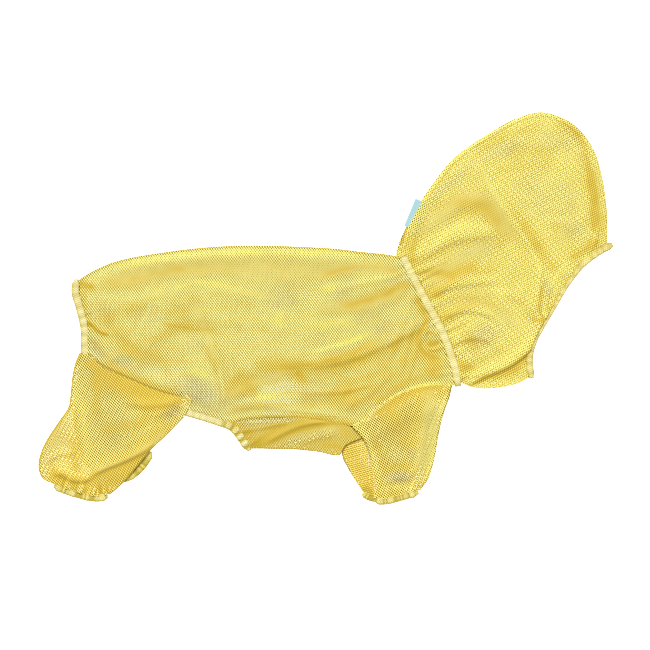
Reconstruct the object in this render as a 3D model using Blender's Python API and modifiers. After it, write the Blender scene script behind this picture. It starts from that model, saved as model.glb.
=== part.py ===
# A dog's mesh suit with legs and a hood, laid flat on its left side.
#
# X runs from tail to head, Y from belly to back, Z up from the surface it lies on. Sizes
# are millimetres until a mesh is made. Each layer of cloth is a wall: the lower (left)
# layers lie on the surface and the upper (right) layers lie on them, so a level is the
# height of a wall's inner face, the one towards the hollow between the layers.

import math
from collections import namedtuple

import bmesh
import bpy
from mathutils import Vector

MM = 0.001

# Cloth
WALL = 1.0                      # thickness of every cloth wall
LAYER_GAP = 0.3                 # between walls that lie on each other
SEAM_GAP = 0.6                  # between the edges of two pieces at a seam
CUFF_GAP = 0.8                  # between a leg and its cuff
LAYER = WALL + LAYER_GAP

# Elastic casings
NECK_BAND = 9.5                 # widths
FACE_BAND = 7.5
SEAT_BAND = 8.8
CUFF_BAND = 8.0
BAND_THICKNESS = 1.6
RIGHT_CUFF_THICKNESS = 1.3
LEFT_CUFF_THICKNESS = 1.0

# Levels of inner faces
FLOOR_LEVEL = WALL              # a wall that lies on the surface
LEFT_TUBE_LEVEL = LAYER         # the wall that lies on it
BACK_LEVEL = 1.6                # upper layer along the fold over the back
BODY_LEVEL = 2.8                # upper layer over the middle of the body and hood
CROWN_LEVEL = LAYER             # upper layer along the crown seam
INNER_LEG_LEVEL = 2 * LAYER + WALL          # right leg's inner wall, on the left leg
OVER_STRIP_LEVEL = INNER_LEG_LEVEL + 2 * LAYER
ARMHOLE_LEVEL = OVER_STRIP_LEVEL + 0.5
LEAST_LEVEL = 2.65              # the upper layer clears the care label

# Lines of the garment in plan, from left to right or from top to bottom
BACK_FOLD = [(-272, 34.5), (-266, 38.5), (-257, 43.5), (-240, 50), (-222, 54.5),
             (-205, 58), (-161, 64.5), (-123, 68.2), (-79, 69.6), (-29, 68.2), (15, 65.5),
             (53, 59.5), (78, 54)]
SEAT_LINE = [(-275.5, 30.5), (-276, 17), (-272, 3), (-268.5, -10), (-266, -24), (-266, -38),
             (-264.5, -52), (-257, -67), (-243, -82), (-218, -95), (-188, -105),
             (-168, -110), (-146, -116), (-123.5, -123), (-105, -130), (-97, -138),
             (-92.5, -144.5), (-85.5, -155)]
HIND_SEAM = [(-268, -53.5), (-259, -56.5), (-250, -61.5), (-236, -68.5), (-215, -77.5),
             (-192, -87.5), (-174, -93), (-160, -97), (-150.5, -102.5)]
CHEST_SEAM = [(-102, -124.5), (-89, -121.5), (-64, -119.5), (-35, -120), (-7, -123),
              (25, -128.5)]
ARMHOLE = [(28, -129), (38, -125), (48, -116), (60, -105), (73, -97), (87, -91),
           (114, -84.5), (134, -85)]
NECK_LINE = [(84.5, 57), (93, 40), (100, 26), (110.5, 6), (121, -13), (130, -32),
             (136.5, -50), (141.5, -66), (144, -80.5)]
CROWN = [(83, 70), (85.5, 80), (89.5, 91), (98, 107), (109, 126), (133, 158),
         (153, 176), (182, 194.8), (208, 209), (236, 216.2), (262, 208.8), (281, 194.5),
         (296, 171), (304, 142), (308.3, 113), (308.9, 90), (308, 77)]
HOOD_NAPE = [(83, 70), (80, 66.5), (82.5, 63.5), (91.5, 62.5)]
FACE_LINE = [(314, 69.3), (301, 63), (283, 50), (271.5, 37), (262, 24), (254, 10.5),
             (246.5, -2.5), (238.5, -16), (232, -27.5), (228, -36), (224.5, -48),
             (223.5, -61), (226, -75)]
CHIN_EDGE = [(150.5, -83), (162, -87), (178, -88), (199, -85.5), (221, -79)]
CHEST_FOLD = [(-80, -155), (-62, -154.5), (-35, -154.5), (-9, -157.5), (6, -161),
              (15, -161), (18.5, -154), (24, -148.5), (45, -140), (66, -131), (96, -117),
              (124, -99)]
STRIP_TOP = [(27, -131), (62, -117), (95, -104), (122, -93)]

RIGHT_SLEEVE_LEFT = [(30, -131), (42, -143), (49, -160), (53, -176), (57, -191), (55, -205)]
RIGHT_SLEEVE_RIGHT = [(132.5, -89), (130, -102), (126, -114), (122.3, -130), (120, -145),
                      (118.5, -158), (115.5, -173), (111, -187), (103, -198)]
RIGHT_FRONT_CUFF = [(52, -210.5), (62, -211.7), (74, -209.6), (88, -205.6), (103, -202)]
LEFT_SLEEVE_LEFT = [(30, -131), (19.5, -146), (17, -161), (22.5, -174), (30, -187),
                    (37, -197.5)]
LEFT_SLEEVE_RIGHT = [(131, -89), (118, -106), (110, -122), (106, -144), (101, -168),
                     (93, -189), (84, -200)]
LEFT_FRONT_CUFF = [(39, -203), (50, -208.3), (66, -209.5), (84, -204.5)]
RIGHT_LEG_LEFT = [(-275, -54), (-277.5, -70), (-280, -90), (-282.5, -108), (-292, -122),
                  (-302, -136), (-310, -149), (-315.2, -163), (-316, -175),
                  (-311, -185.5), (-300, -190.5)]
RIGHT_LEG_RIGHT = [(-157.5, -119.5), (-166, -128.5), (-176, -138.5), (-186.5, -151),
                   (-193.5, -163), (-203.5, -177), (-215, -189), (-226, -196),
                   (-236, -200.5)]
RIGHT_HIND_CUFF = [(-301, -195), (-288, -200), (-272, -205), (-254, -208.4),
                   (-237.5, -206)]
LEFT_LEG_LEFT = [(-275, -54), (-276, -76), (-279, -107), (-277, -140), (-270, -165),
                 (-257, -180), (-246, -185)]
LEFT_LEG_RIGHT = [(-157.5, -119.5), (-168, -129), (-178, -136.5), (-187, -143),
                  (-196, -151)]
LEFT_HIND_CUFF = [(-243, -190), (-228, -188.7), (-212.5, -182.5), (-200.5, -170.5),
                  (-192, -155)]

# Tab in the crown seam and care label between the layers
TAB_CORNERS = [(98, 121), (85.5, 91), (98, 85.8), (110.5, 115.8)]
LABEL_CORNERS = [(-70, -118.6), (-39, -118.6), (-39, -73), (-70, -73)]

# Levels along a line, by share of its length
Level = namedtuple("Level", "share height")
BODY_HEM = [Level(0.00, 6.1), Level(0.25, 6.1), Level(0.34, 3.6), Level(0.42, 2.8),
            Level(0.60, 2.8), Level(0.68, 3.4), Level(0.72, 5.0), Level(0.745, 6.7),
            Level(1.00, 6.7)]
SEAT_UPPER = [Level(0.00, 3.2), Level(0.70, 3.2), Level(0.85, 2.3), Level(1.00, 2.2)]
SEAT_LOWER = [Level(0.00, 0.0), Level(0.15, 0.0), Level(0.23, 1.3), Level(0.74, 1.3),
              Level(0.80, 0.0), Level(1.00, 0.0)]
CHEST_LOWER = [Level(0.00, 1.0), Level(0.24, 1.0), Level(0.36, 3.6), Level(1.00, 3.6)]
CHEST_UPPER = [Level(0.00, 2.2), Level(0.24, 2.3), Level(0.36, 3.9), Level(1.00, 3.9)]
SLEEVE_REST = [Level(0.00, OVER_STRIP_LEVEL), Level(0.22, OVER_STRIP_LEVEL),
               Level(0.42, INNER_LEG_LEVEL), Level(1.00, INNER_LEG_LEVEL)]

# Where a right leg reaches past the left one: to the left of this line it comes down
# to the surface within the width
Ramp = namedtuple("Ramp", "x0 y0 x1 y1 width")
HIND_RAMP = Ramp(-264, -200, -291, -112, 20)
FRONT_RAMP = Ramp(124, -104, 92, -204, 12)

# Soft folds of the upper layer: a ridge, or a trough where the height is negative
Fold = namedtuple("Fold", "x0 y0 x1 y1 width height")
BODY_FOLDS = [
    Fold(94, 32, -20, 4, 14, -0.8),
    Fold(88, 14, -30, -14, 16, 1.3),
    Fold(112, -4, 30, -62, 11, 1.7),
    Fold(118, -24, 60, -82, 9, -0.8),
    Fold(128, -44, 88, -84, 8, 1.4),
    Fold(60, -46, -24, -70, 14, -0.7),
    Fold(20, -30, -60, -60, 18, 1.0),
    Fold(-262, 4, -200, -36, 12, 1.1),
    Fold(-258, -30, -190, -64, 11, -0.6),
    Fold(-262, 30, -150, 40, 16, 0.8),
    Fold(-246, -55, -156, -88, 9, 1.6),
    Fold(-118, -30, -116, -112, 8, 0.7),
    Fold(-40, 48, 74, 36, 14, 0.9),
]
HOOD_FOLDS = [
    Fold(100, 36, 180, 66, 11, 1.8),
    Fold(106, 22, 176, 32, 9, -1.0),
    Fold(112, 10, 200, 30, 10, 1.9),
    Fold(120, -6, 184, 2, 8, -0.9),
    Fold(126, -18, 210, -2, 9, 1.8),
    Fold(132, -34, 186, -28, 8, -0.9),
    Fold(138, -50, 206, -26, 10, 1.6),
    Fold(240, 44, 241, -4, 8, 1.4),
    Fold(150, 120, 250, 150, 26, 1.0),
    Fold(176, 60, 250, 20, 18, 1.0),
    Fold(262, 40, 290, 150, 12, 0.8),
    Fold(236, -20, 168, -68, 11, 2.0),
]
TAB_LIFT = Fold(114, 133, 88, 75, 14, 2.3)
CHEST_FOLDS = [
    Fold(-76, -146, -10, -128, 8, 1.2),
    Fold(-50, -148, 6, -136, 8, -0.6),
    Fold(-14, -150, 16, -138, 7, 0.9),
]
RIGHT_SLEEVE_FOLDS = [
    Fold(44, -136, 96, -192, 10, 1.3),
    Fold(62, -120, 84, -160, 9, -0.5),
    Fold(112, -98, 108, -170, 9, 1.2),
    Fold(70, -188, 96, -178, 7, 0.9),
]
RIGHT_LEG_FOLDS = [
    Fold(-258, -78, -190, -106, 12, -0.5),
    Fold(-250, -120, -210, -168, 14, 1.1),
    Fold(-264, -186, -202, -160, 9, 2.0),
    Fold(-296, -160, -268, -186, 10, 1.1),
    Fold(-190, -118, -180, -136, 9, 1.0),
]

# Regular small waves of gathered cloth beside a casing: depth, and share they reach
Gathers = namedtuple("Gathers", "count depth reach")
FRONT_GATHERS = Gathers(count=5, depth=0.45, reach=0.22)
HIND_GATHERS = Gathers(count=6, depth=0.7, reach=0.18)
BELLY_GATHERS = Gathers(count=4, depth=0.5, reach=0.22)

# Puckers of an elastic casing's upper run: count, and how high each stands
Puckers = namedtuple("Puckers", "count height")
NECK_PUCKERS = Puckers(16, 0.25)
FACE_PUCKERS = Puckers(12, 0.25)
SEAT_PUCKERS = Puckers(24, 0.30)
FRONT_CUFF_PUCKERS = Puckers(6, 0.25)
HIND_CUFF_PUCKERS = Puckers(7, 0.30)
NO_PUCKERS = Puckers(0, 0.0)

# A flattened tube's upper wall: its level above the lower wall at the sides and its puff,
# by share of the way down
Puff = namedtuple("Puff", "share side middle")
RIGHT_SLEEVE_PUFF = [Puff(0.0, 0.5, 0.0), Puff(0.3, 0.6, 1.2), Puff(0.8, 0.6, 1.2),
                     Puff(1.0, 0.5, 0.3)]
RIGHT_LEG_PUFF = [Puff(0.0, 1.7, 0.4), Puff(0.25, 1.0, 1.3), Puff(0.8, 0.6, 1.6),
                  Puff(1.0, 0.5, 0.4)]
LEFT_TUBE_PUFF = [Puff(0.0, LAYER_GAP, 0.0), Puff(1.0, LAYER_GAP, 0.0)]

# Colours
MESH_YELLOW = (0.85, 0.68, 0.12, 1.0)
SHADE_YELLOW = (0.80, 0.60, 0.09, 1.0)
BAND_CREAM = (0.86, 0.78, 0.42, 1.0)
TAB_BLUE = (0.48, 0.80, 0.84, 1.0)
LABEL_WHITE = (0.90, 0.89, 0.80, 1.0)


def smooth(value):
    held = min(max(value, 0.0), 1.0)
    return held * held * (3.0 - 2.0 * held)


def blend(first, second, share):
    return first + (second - first) * share


def evenly(count):
    return [index / (count - 1) for index in range(count)]


def read(table, share, column="height"):
    """Value of a table's column at a share, eased between its rows."""
    for first, second in zip(table, table[1:]):
        if share <= second.share:
            inside = smooth((share - first.share) / (second.share - first.share))
            return blend(getattr(first, column), getattr(second, column), inside)
    return getattr(table[-1], column)


class Line:
    """A line in plan, read by the share of its length."""

    STEPS = 12

    def __init__(self, points):
        self.points = [Vector(point) for point in points]
        self.lengths = [0.0]
        for first, second in zip(self.points, self.points[1:]):
            self.lengths.append(self.lengths[-1] + (second - first).length)

    @classmethod
    def curve(cls, points):
        """A smooth line through the points (Catmull-Rom)."""
        ends = [Vector(point) for point in points]
        ends = [2 * ends[0] - ends[1]] + ends + [2 * ends[-1] - ends[-2]]
        found = []
        for before, start, stop, after in zip(ends, ends[1:], ends[2:], ends[3:]):
            for step in range(cls.STEPS):
                share = step / cls.STEPS
                found.append(0.5 * (
                    2 * start + (stop - before) * share
                    + (2 * before - 5 * start + 4 * stop - after) * share ** 2
                    + (3 * start - before - 3 * stop + after) * share ** 3))
        return cls(found + [ends[-2]])

    @classmethod
    def joined(cls, *lines):
        return cls([point for line in lines for point in line.points])

    def at(self, share):
        wanted = min(max(share, 0.0), 1.0) * self.lengths[-1]
        for index in range(1, len(self.points)):
            if self.lengths[index] >= wanted:
                span = self.lengths[index] - self.lengths[index - 1]
                inside = (wanted - self.lengths[index - 1]) / span if span else 0.0
                return blend(self.points[index - 1], self.points[index], inside)
        return self.points[-1].copy()

    def heading(self, share):
        step = 0.006
        return (self.at(share + step) - self.at(share - step)).normalized()

    def to_left(self, share):
        ahead = self.heading(share)
        return Vector((-ahead.y, ahead.x))

    def part(self, start, stop, count=40):
        return Line([self.at(blend(start, stop, share)) for share in evenly(count)])

    def pinned(self, start, stop, reach=0.15, count=60):
        """The line with its ends moved to two points, the move fading along it."""
        first = start - self.at(0.0)
        last = stop - self.at(1.0)
        return Line([self.at(share) + first * smooth(1.0 - share / reach)
                     + last * smooth((share - 1.0 + reach) / reach)
                     for share in evenly(count)])

    def beside(self, distance, count=60):
        """The line moved to its left, or to its right where the distance is negative."""
        return Line([self.at(share) + self.to_left(share) * distance
                     for share in evenly(count)])


class Patch:
    """A panel in plan between four lines, read by the shares across and down."""

    def __init__(self, top, bottom, left, right):
        self.top = top
        self.bottom = bottom
        self.left = left
        self.right = right

    def at(self, across, down):
        spot = blend(self.top.at(across), self.bottom.at(across), down)
        for side, weight in ((self.left, 1.0 - across), (self.right, across)):
            spot = spot + weight * (side.at(down) - blend(side.at(0.0), side.at(1.0), down))
        return spot


def fold_height(folds, spot):
    """Sum of the soft folds at a point, each fading to its ends and sides."""
    total = 0.0
    for fold in folds:
        start = Vector((fold.x0, fold.y0))
        run = Vector((fold.x1, fold.y1)) - start
        along = (spot - start).dot(run) / run.length_squared
        side = (spot - start - run * along).length / fold.width
        fade = smooth((along + 0.15) / 0.35) * smooth((1.15 - along) / 0.5)
        total += fold.height * fade * math.exp(-side * side)
    return total


def gather_height(gathers, across, from_edge):
    fade = smooth(1.0 - from_edge / gathers.reach)
    return gathers.depth * fade * (1.0 - math.cos(2 * math.pi * gathers.count * across)) / 2


def ramp_drop(ramp, spot):
    """From 0 on the ramp's line to 1 past its width on the left."""
    start = Vector((ramp.x0, ramp.y0))
    run = (Vector((ramp.x1, ramp.y1)) - start).normalized()
    return smooth((spot - start).dot(Vector((-run.y, run.x))) / ramp.width)


def material(name, colour, roughness):
    made = bpy.data.materials.new(name)
    made.use_nodes = True
    shader = made.node_tree.nodes["Principled BSDF"]
    shader.inputs["Base Color"].default_value = colour
    shader.inputs["Roughness"].default_value = roughness
    shader.inputs["Metallic"].default_value = 0.0
    return made


def add_object(name, build, paint):
    mesh = bpy.data.meshes.new(name)
    build.to_mesh(mesh)
    build.free()
    mesh.shade_smooth()
    mesh.materials.append(paint)
    made = bpy.data.objects.new(name, mesh)
    GARMENT.objects.link(made)
    return made


def cloth_wall(name, rows, paint, ring=False, faces_down=False):
    """An open surface through rows of points, with its wall on the outer side."""
    build = bmesh.new()
    grid = [[build.verts.new(point * MM) for point in row] for row in rows]
    columns = len(grid[0])
    for upper, lower in zip(grid, grid[1:]):
        for index in range(columns if ring else columns - 1):
            after = (index + 1) % columns
            build.faces.new((upper[index], lower[index], lower[after], upper[after]))
    build.normal_update()
    highest = max(build.faces, key=lambda face: face.calc_center_median().z)
    if (highest.normal.z < 0.0) != faces_down:
        bmesh.ops.reverse_faces(build, faces=build.faces)
    made = add_object(name, build, paint)
    wall = made.modifiers.new("wall", "SOLIDIFY")
    wall.thickness = WALL * MM
    wall.offset = 1.0
    return made


def half_turn(near, far, outward, steps=2):
    """Points of the cloth's turn from the upper layer down to the lower one."""
    radius = (near.z - far.z) / 2
    found = []
    for step in range(1, steps + 1):
        share = step / (steps + 1)
        spot = blend(near.xy, far.xy, share) + outward * radius * math.sin(math.pi * share)
        found.append(spot.to_3d() + Vector((0, 0, far.z + radius
                                            + radius * math.cos(math.pi * share))))
    return found


def folded_cloth(name, patch, upper_level, lower_level, counts, paint):
    """A cloth folded in two along the patch's top line."""
    along, over, under = counts
    rows = []
    for across in evenly(along):
        near = [patch.at(across, down).to_3d() for down in reversed(evenly(over))]
        for point, down in zip(near, reversed(evenly(over))):
            point.z = upper_level(point.xy, across, down)
        far = [patch.at(across, down).to_3d() for down in evenly(under)]
        for point, down in zip(far, evenly(under)):
            point.z = lower_level(point.xy, across, down)
        outward = (patch.at(across, 0.0) - patch.at(across, 0.08)).normalized()
        rows.append(near + half_turn(near[-1], far[0], outward) + far)
    return cloth_wall(name, rows, paint)


def flat_tube(name, upper, lower, upper_level, lower_level, counts, paint):
    """A tube lying flat: over its upper wall, round the right side and back under."""
    down_count, over, under = counts
    rows = []
    for down in evenly(down_count):
        near = [upper.at(across, down).to_3d() for across in evenly(over)]
        for point, across in zip(near, evenly(over)):
            point.z = upper_level(point.xy, across, down)
        far = [lower.at(across, down).to_3d() for across in reversed(evenly(under))]
        for point in far:
            point.z = lower_level(point.xy, down)
        right = (upper.at(1.0, down) - upper.at(0.9, down)).normalized()
        left = (upper.at(0.0, down) - upper.at(0.1, down)).normalized()
        turn_back = half_turn(near[0], far[-1], left)
        rows.append(near + half_turn(near[-1], far[0], right) + far + turn_back[::-1])
    return cloth_wall(name, rows, paint, ring=True)


def flat_panel(name, patch, level, counts, paint, faces_down=False):
    across_count, down_count = counts
    rows = []
    for across in evenly(across_count):
        row = [patch.at(across, down).to_3d() for down in evenly(down_count)]
        for point, down in zip(row, evenly(down_count)):
            point.z = level(point.xy, across, down)
        rows.append(row)
    return cloth_wall(name, rows, paint, faces_down=faces_down)


def casing(name, line, width, thickness, upper, lower, counts, puckers, paint):
    """An elastic casing: a flat band that runs along the upper layer, turns over at the
    end and comes back under the lower one. The levels are its undersides."""
    upper_count, lower_count = counts
    turn_steps = 2
    path = []
    for share in evenly(upper_count):
        height = upper(line.at(share), share) + thickness / 2
        swell = puckers.height * math.cos(2 * math.pi * puckers.count * share)
        path.append((share, line.at(share).to_3d() + Vector((0, 0, height)), swell))
    back = []
    for share in reversed(evenly(lower_count)):
        height = lower(line.at(share), share) + thickness / 2
        back.append((share, line.at(share).to_3d() + Vector((0, 0, height)), 0.0))
    far_end = half_turn(path[-1][1], back[0][1], line.heading(1.0), turn_steps)
    near_end = half_turn(path[0][1], back[-1][1], -line.heading(0.0), turn_steps)
    path += [(1.0, point, 0.0) for point in far_end] + back
    path += [(0.0, point, 0.0) for point in reversed(near_end)]

    edge = width / 2 - 1.2
    section = [(-width / 2, 0.0), (-edge, 0.5), (edge, 0.5), (width / 2, 0.0), (edge, -0.5),
               (-edge, -0.5)]
    build = bmesh.new()
    rings = []
    for place, (share, centre, swell) in enumerate(path):
        ahead = path[(place + 1) % len(path)][1] - path[place - 1][1]
        side = line.to_left(share).to_3d()
        outward = ahead.cross(side).normalized()
        ring = []
        for sideways, raised in section:
            lift = raised * thickness + (swell if raised > 0 else 0.0)
            ring.append(build.verts.new((centre + side * sideways + outward * lift) * MM))
        rings.append(ring)
    for place, ring in enumerate(rings):
        following = rings[(place + 1) % len(rings)]
        for index in range(len(ring)):
            after = (index + 1) % len(ring)
            build.faces.new((ring[index], following[index], following[after], ring[after]))
    bmesh.ops.recalc_face_normals(build, faces=build.faces)
    return add_object(name, build, paint)


def flat_plate(name, corners, bottom, thickness, paint, bevel=0.3):
    """A thin plate on a four-cornered outline, its edges a little rounded."""
    build = bmesh.new()
    ring = [build.verts.new(Vector((x, y, bottom)) * MM) for x, y in corners]
    base = build.faces.new(ring)
    raised = bmesh.ops.extrude_face_region(build, geom=[base])
    lifted = [item for item in raised["geom"] if isinstance(item, bmesh.types.BMVert)]
    bmesh.ops.translate(build, verts=lifted, vec=(0, 0, thickness * MM))
    bmesh.ops.recalc_face_normals(build, faces=build.faces)
    made = add_object(name, build, paint)
    rounding = made.modifiers.new("rounded_edges", "BEVEL")
    rounding.width = bevel * MM
    rounding.segments = 1
    return made


def rise(down, hem):
    """Level of the upper body layer: low on the back fold, then up to its hem's level."""
    flank = blend(BACK_LEVEL, BODY_LEVEL, smooth(down / 0.25))
    return blend(flank, hem, smooth((down - 0.6) / 0.38))


def body_level(spot, across, down):
    edges = smooth(down / 0.12) * smooth((1.0 - down) / 0.1) * blend(1.0, 0.5, across ** 8)
    level = rise(down, read(BODY_HEM, across)) + edges * fold_height(BODY_FOLDS, spot)
    return max(level, LEAST_LEVEL) if down > 0.3 else level


def neck_level(spot, share):
    return rise(share, ARMHOLE_LEVEL) - 0.2


def hood_level(spot, across, down):
    middle = blend(CROWN_LEVEL, BODY_LEVEL, smooth(down / 0.14) * smooth(across / 0.02 + 0.6))
    from_neck = smooth(1.0 - across / 0.3)
    low = blend(CROWN_LEVEL + 0.7, ARMHOLE_LEVEL, from_neck)
    level = blend(middle, low, smooth((down - 0.75) / 0.2) * max(from_neck, 0.3))
    fade = smooth(down / 0.05 + 0.6) * smooth((1.0 - down) / 0.06)
    level += fade * fold_height(HOOD_FOLDS, spot) + fold_height([TAB_LIFT], spot)
    return max(level, CROWN_LEVEL)


def on_floor(spot, *shares):
    return FLOOR_LEVEL


def build_body(paint):
    fold = Line.curve(BACK_FOLD).beside(-(WALL + 0.4))
    seat = Line.curve(SEAT_LINE)
    edge = SEAT_BAND / 2 + SEAM_GAP
    hem = Line.joined(
        Line.curve(HIND_SEAM).part(0.08, 1.0).beside(SEAM_GAP / 2),
        seat.part(0.765, 0.86).beside(edge),
        Line.curve(CHEST_SEAM).beside(SEAM_GAP / 2),
        Line.curve(ARMHOLE).beside(SEAM_GAP / 2))
    rear = seat.part(0.0, 0.262).beside(edge)
    front = Line.curve(NECK_LINE).beside(-(NECK_BAND / 2 + SEAM_GAP))
    fold = fold.pinned(rear.at(0.0), front.at(0.0))
    hem = hem.pinned(rear.at(1.0), front.at(1.0), reach=0.05, count=160)
    patch = Patch(fold, hem, rear, front)
    return folded_cloth("body_panel", patch, body_level, on_floor, (37, 14, 4), paint)


def build_chest(paint):
    seam = Line.joined(Line.curve(CHEST_SEAM).beside(-SEAM_GAP / 2), Line.curve(STRIP_TOP))
    fold = Line.curve(CHEST_FOLD).beside(WALL * 0.6)
    casing_side = Line.curve(SEAT_LINE).part(0.995, 0.875).beside(
        -(SEAT_BAND / 2 + SEAM_GAP))
    end = Line([fold.at(1.0), seam.at(1.0)])

    def upper(spot, across, down):
        near_ends = smooth(down / 0.15) * smooth((1.0 - down) / 0.15)
        level = read(CHEST_UPPER, across) + near_ends * fold_height(CHEST_FOLDS, spot)
        level += gather_height(BELLY_GATHERS, down, across)
        return max(level, read(CHEST_LOWER, across) + LAYER_GAP)

    def lower(spot, across, down):
        return read(CHEST_LOWER, across)

    patch = Patch(fold, seam, casing_side, end)
    return folded_cloth("chest_panel", patch, upper, lower, (24, 9, 3), paint)


def hood_patch():
    neck = Line.joined(Line.curve(HOOD_NAPE),
                       Line.curve(NECK_LINE).beside(NECK_BAND / 2 + SEAM_GAP))
    face = Line.curve(FACE_LINE).part(0.03, 1.0).beside(-(FACE_BAND / 2 + SEAM_GAP))
    crown = Line.curve(CROWN).pinned(neck.at(0.0), face.at(0.0), reach=0.06, count=120)
    chin = Line.curve(CHIN_EDGE).pinned(neck.at(1.0), face.at(1.0))
    return Patch(crown, chin, neck, face)


def build_hood(paint_near, paint_far):
    patch = hood_patch()
    flat_panel("hood_right", patch, hood_level, (23, 17), paint_near)
    flat_panel("hood_left", patch, on_floor, (23, 11), paint_far, faces_down=True)


def tube_level(puffs, folds, gathers, rest):
    """Level of a flattened tube's upper wall over its lower one."""

    def level(spot, across, down):
        side = read(puffs, down, "side")
        bulge = math.sin(math.pi * across) ** 0.7 if 0.0 < across < 1.0 else 0.0
        middle = read(puffs, down, "middle") * bulge
        fade = smooth(min(across, 1.0 - across) / 0.12) * smooth(down / 0.1)
        relief = fade * fold_height(folds, spot)
        relief += gather_height(gathers, across, 1.0 - down)
        return rest(spot, down) + max(side + middle + relief, LAYER_GAP)

    return level


def sleeve_rest(spot, down):
    past = ramp_drop(FRONT_RAMP, spot) * smooth((down - 0.25) / 0.25)
    return blend(read(SLEEVE_REST, down), FLOOR_LEVEL, past)


def hind_rest(spot, down):
    return blend(INNER_LEG_LEVEL, FLOOR_LEVEL, ramp_drop(HIND_RAMP, spot))


def build_leg(name, tops, sides, cuff_line, levels, counts, paint):
    """One leg's tube, from its seam to its cuff. Tops are its outer and inner seams."""
    bottom = cuff_line.beside(CUFF_BAND / 2 + CUFF_GAP)
    left, right = (Line.curve(side) for side in sides)
    outer = Patch(tops[0], bottom, left, right)
    inner = Patch(tops[1], bottom, left, right)
    upper_level, lower_level = levels
    return flat_tube(name, outer, inner, upper_level, lower_level, counts, paint)


def build_legs(paint):
    armhole = Line.joined(Line([(30, -131)]), Line.curve(ARMHOLE).beside(-SEAM_GAP / 2),
                          Line([(133, -87)]))
    strip = Line.joined(Line([(30, -131)]), Line.curve(STRIP_TOP), Line([(132, -89)]))
    hind = Line.joined(Line([(-275, -53.5)]), Line.curve(HIND_SEAM).beside(-SEAM_GAP / 2),
                       Line([(-150, -107), (-157.5, -119)]))
    thigh = Line.joined(
        Line([(-275, -53.5)]),
        Line.curve(SEAT_LINE).part(0.31, 0.655).beside(-(SEAT_BAND / 2 + SEAM_GAP)),
        Line([(-157.5, -119.5)]))
    right_front = Line.curve(RIGHT_FRONT_CUFF)
    right_hind = Line.curve(RIGHT_HIND_CUFF)
    left_front = Line.curve(LEFT_FRONT_CUFF)
    left_hind = Line.curve(LEFT_HIND_CUFF)

    def left_upper(spot, across, down):
        return LEFT_TUBE_LEVEL

    build_leg("front_sleeve_right", (armhole, strip),
              (RIGHT_SLEEVE_LEFT, RIGHT_SLEEVE_RIGHT), right_front,
              (tube_level(RIGHT_SLEEVE_PUFF, RIGHT_SLEEVE_FOLDS, FRONT_GATHERS, sleeve_rest),
               sleeve_rest), (12, 17, 6), paint)
    build_leg("hind_leg_right", (hind, thigh), (RIGHT_LEG_LEFT, RIGHT_LEG_RIGHT),
              right_hind,
              (tube_level(RIGHT_LEG_PUFF, RIGHT_LEG_FOLDS, HIND_GATHERS, hind_rest),
               hind_rest), (14, 20, 7), paint)
    build_leg("front_sleeve_left", (strip, armhole), (LEFT_SLEEVE_LEFT, LEFT_SLEEVE_RIGHT),
              left_front, (left_upper, on_floor), (10, 7, 7), paint)
    build_leg("hind_leg_left", (thigh, hind), (LEFT_LEG_LEFT, LEFT_LEG_RIGHT), left_hind,
              (left_upper, on_floor), (10, 9, 9), paint)


def build_casings(paint):
    neck = Line.curve(NECK_LINE)
    casing("neck_casing", neck, NECK_BAND, BAND_THICKNESS, neck_level,
           lambda spot, share: 0.0, (56, 14), NECK_PUCKERS, paint)
    face = Line.curve(FACE_LINE)
    casing("face_casing", face, FACE_BAND, BAND_THICKNESS, lambda spot, share: 2.2,
           lambda spot, share: 0.0, (44, 18), FACE_PUCKERS, paint)
    seat = Line.curve(SEAT_LINE)
    casing("seat_casing", seat, SEAT_BAND, BAND_THICKNESS,
           lambda spot, share: read(SEAT_UPPER, share),
           lambda spot, share: read(SEAT_LOWER, share), (84, 34), SEAT_PUCKERS, paint)


def cuff_line(points):
    """A cuff's line, a little shorter than its leg's edge so that its ends turn inside."""
    return Line.curve(points).part(0.03, 0.94)


def build_cuffs(paint):
    def above(rest, offset):
        return lambda spot, share: rest(spot, 1.0) + offset

    for name, line, rest, puckers, steps in (
            ("front_cuff_right", RIGHT_FRONT_CUFF, sleeve_rest, FRONT_CUFF_PUCKERS, 22),
            ("hind_cuff_right", RIGHT_HIND_CUFF, hind_rest, HIND_CUFF_PUCKERS, 27)):
        under = above(rest, -WALL)
        over = above(rest, RIGHT_CUFF_THICKNESS + LAYER_GAP - WALL)
        casing(name, cuff_line(line), CUFF_BAND, RIGHT_CUFF_THICKNESS, over, under,
               (steps, 8), puckers, paint)
    for name, line in (("front_cuff_left", LEFT_FRONT_CUFF),
                       ("hind_cuff_left", LEFT_HIND_CUFF)):
        casing(name, cuff_line(line), CUFF_BAND, LEFT_CUFF_THICKNESS,
               lambda spot, share: LAYER, lambda spot, share: 0.0, (9, 9), NO_PUCKERS, paint)


def build_tags(tab_paint, label_paint):
    flat_plate("side_tab", TAB_CORNERS, LAYER, WALL, tab_paint)
    flat_plate("care_label", LABEL_CORNERS, LAYER, WALL, label_paint)


def clear_scene():
    for thing in list(bpy.data.objects):
        bpy.data.objects.remove(thing)
    bpy.context.scene.collection.children.link(GARMENT)


GARMENT = bpy.data.collections.new("dog_mesh_bug_suit")
clear_scene()
mesh_cloth = material("yellow_mesh", MESH_YELLOW, 0.75)
mesh_shade = material("yellow_mesh_lower", SHADE_YELLOW, 0.75)
band_cloth = material("cream_casing", BAND_CREAM, 0.8)
build_body(mesh_cloth)
build_chest(mesh_shade)
build_hood(mesh_cloth, mesh_shade)
build_legs(mesh_cloth)
build_casings(band_cloth)
build_cuffs(band_cloth)
build_tags(material("blue_tab", TAB_BLUE, 0.6), material("white_label", LABEL_WHITE, 0.6))
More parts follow.
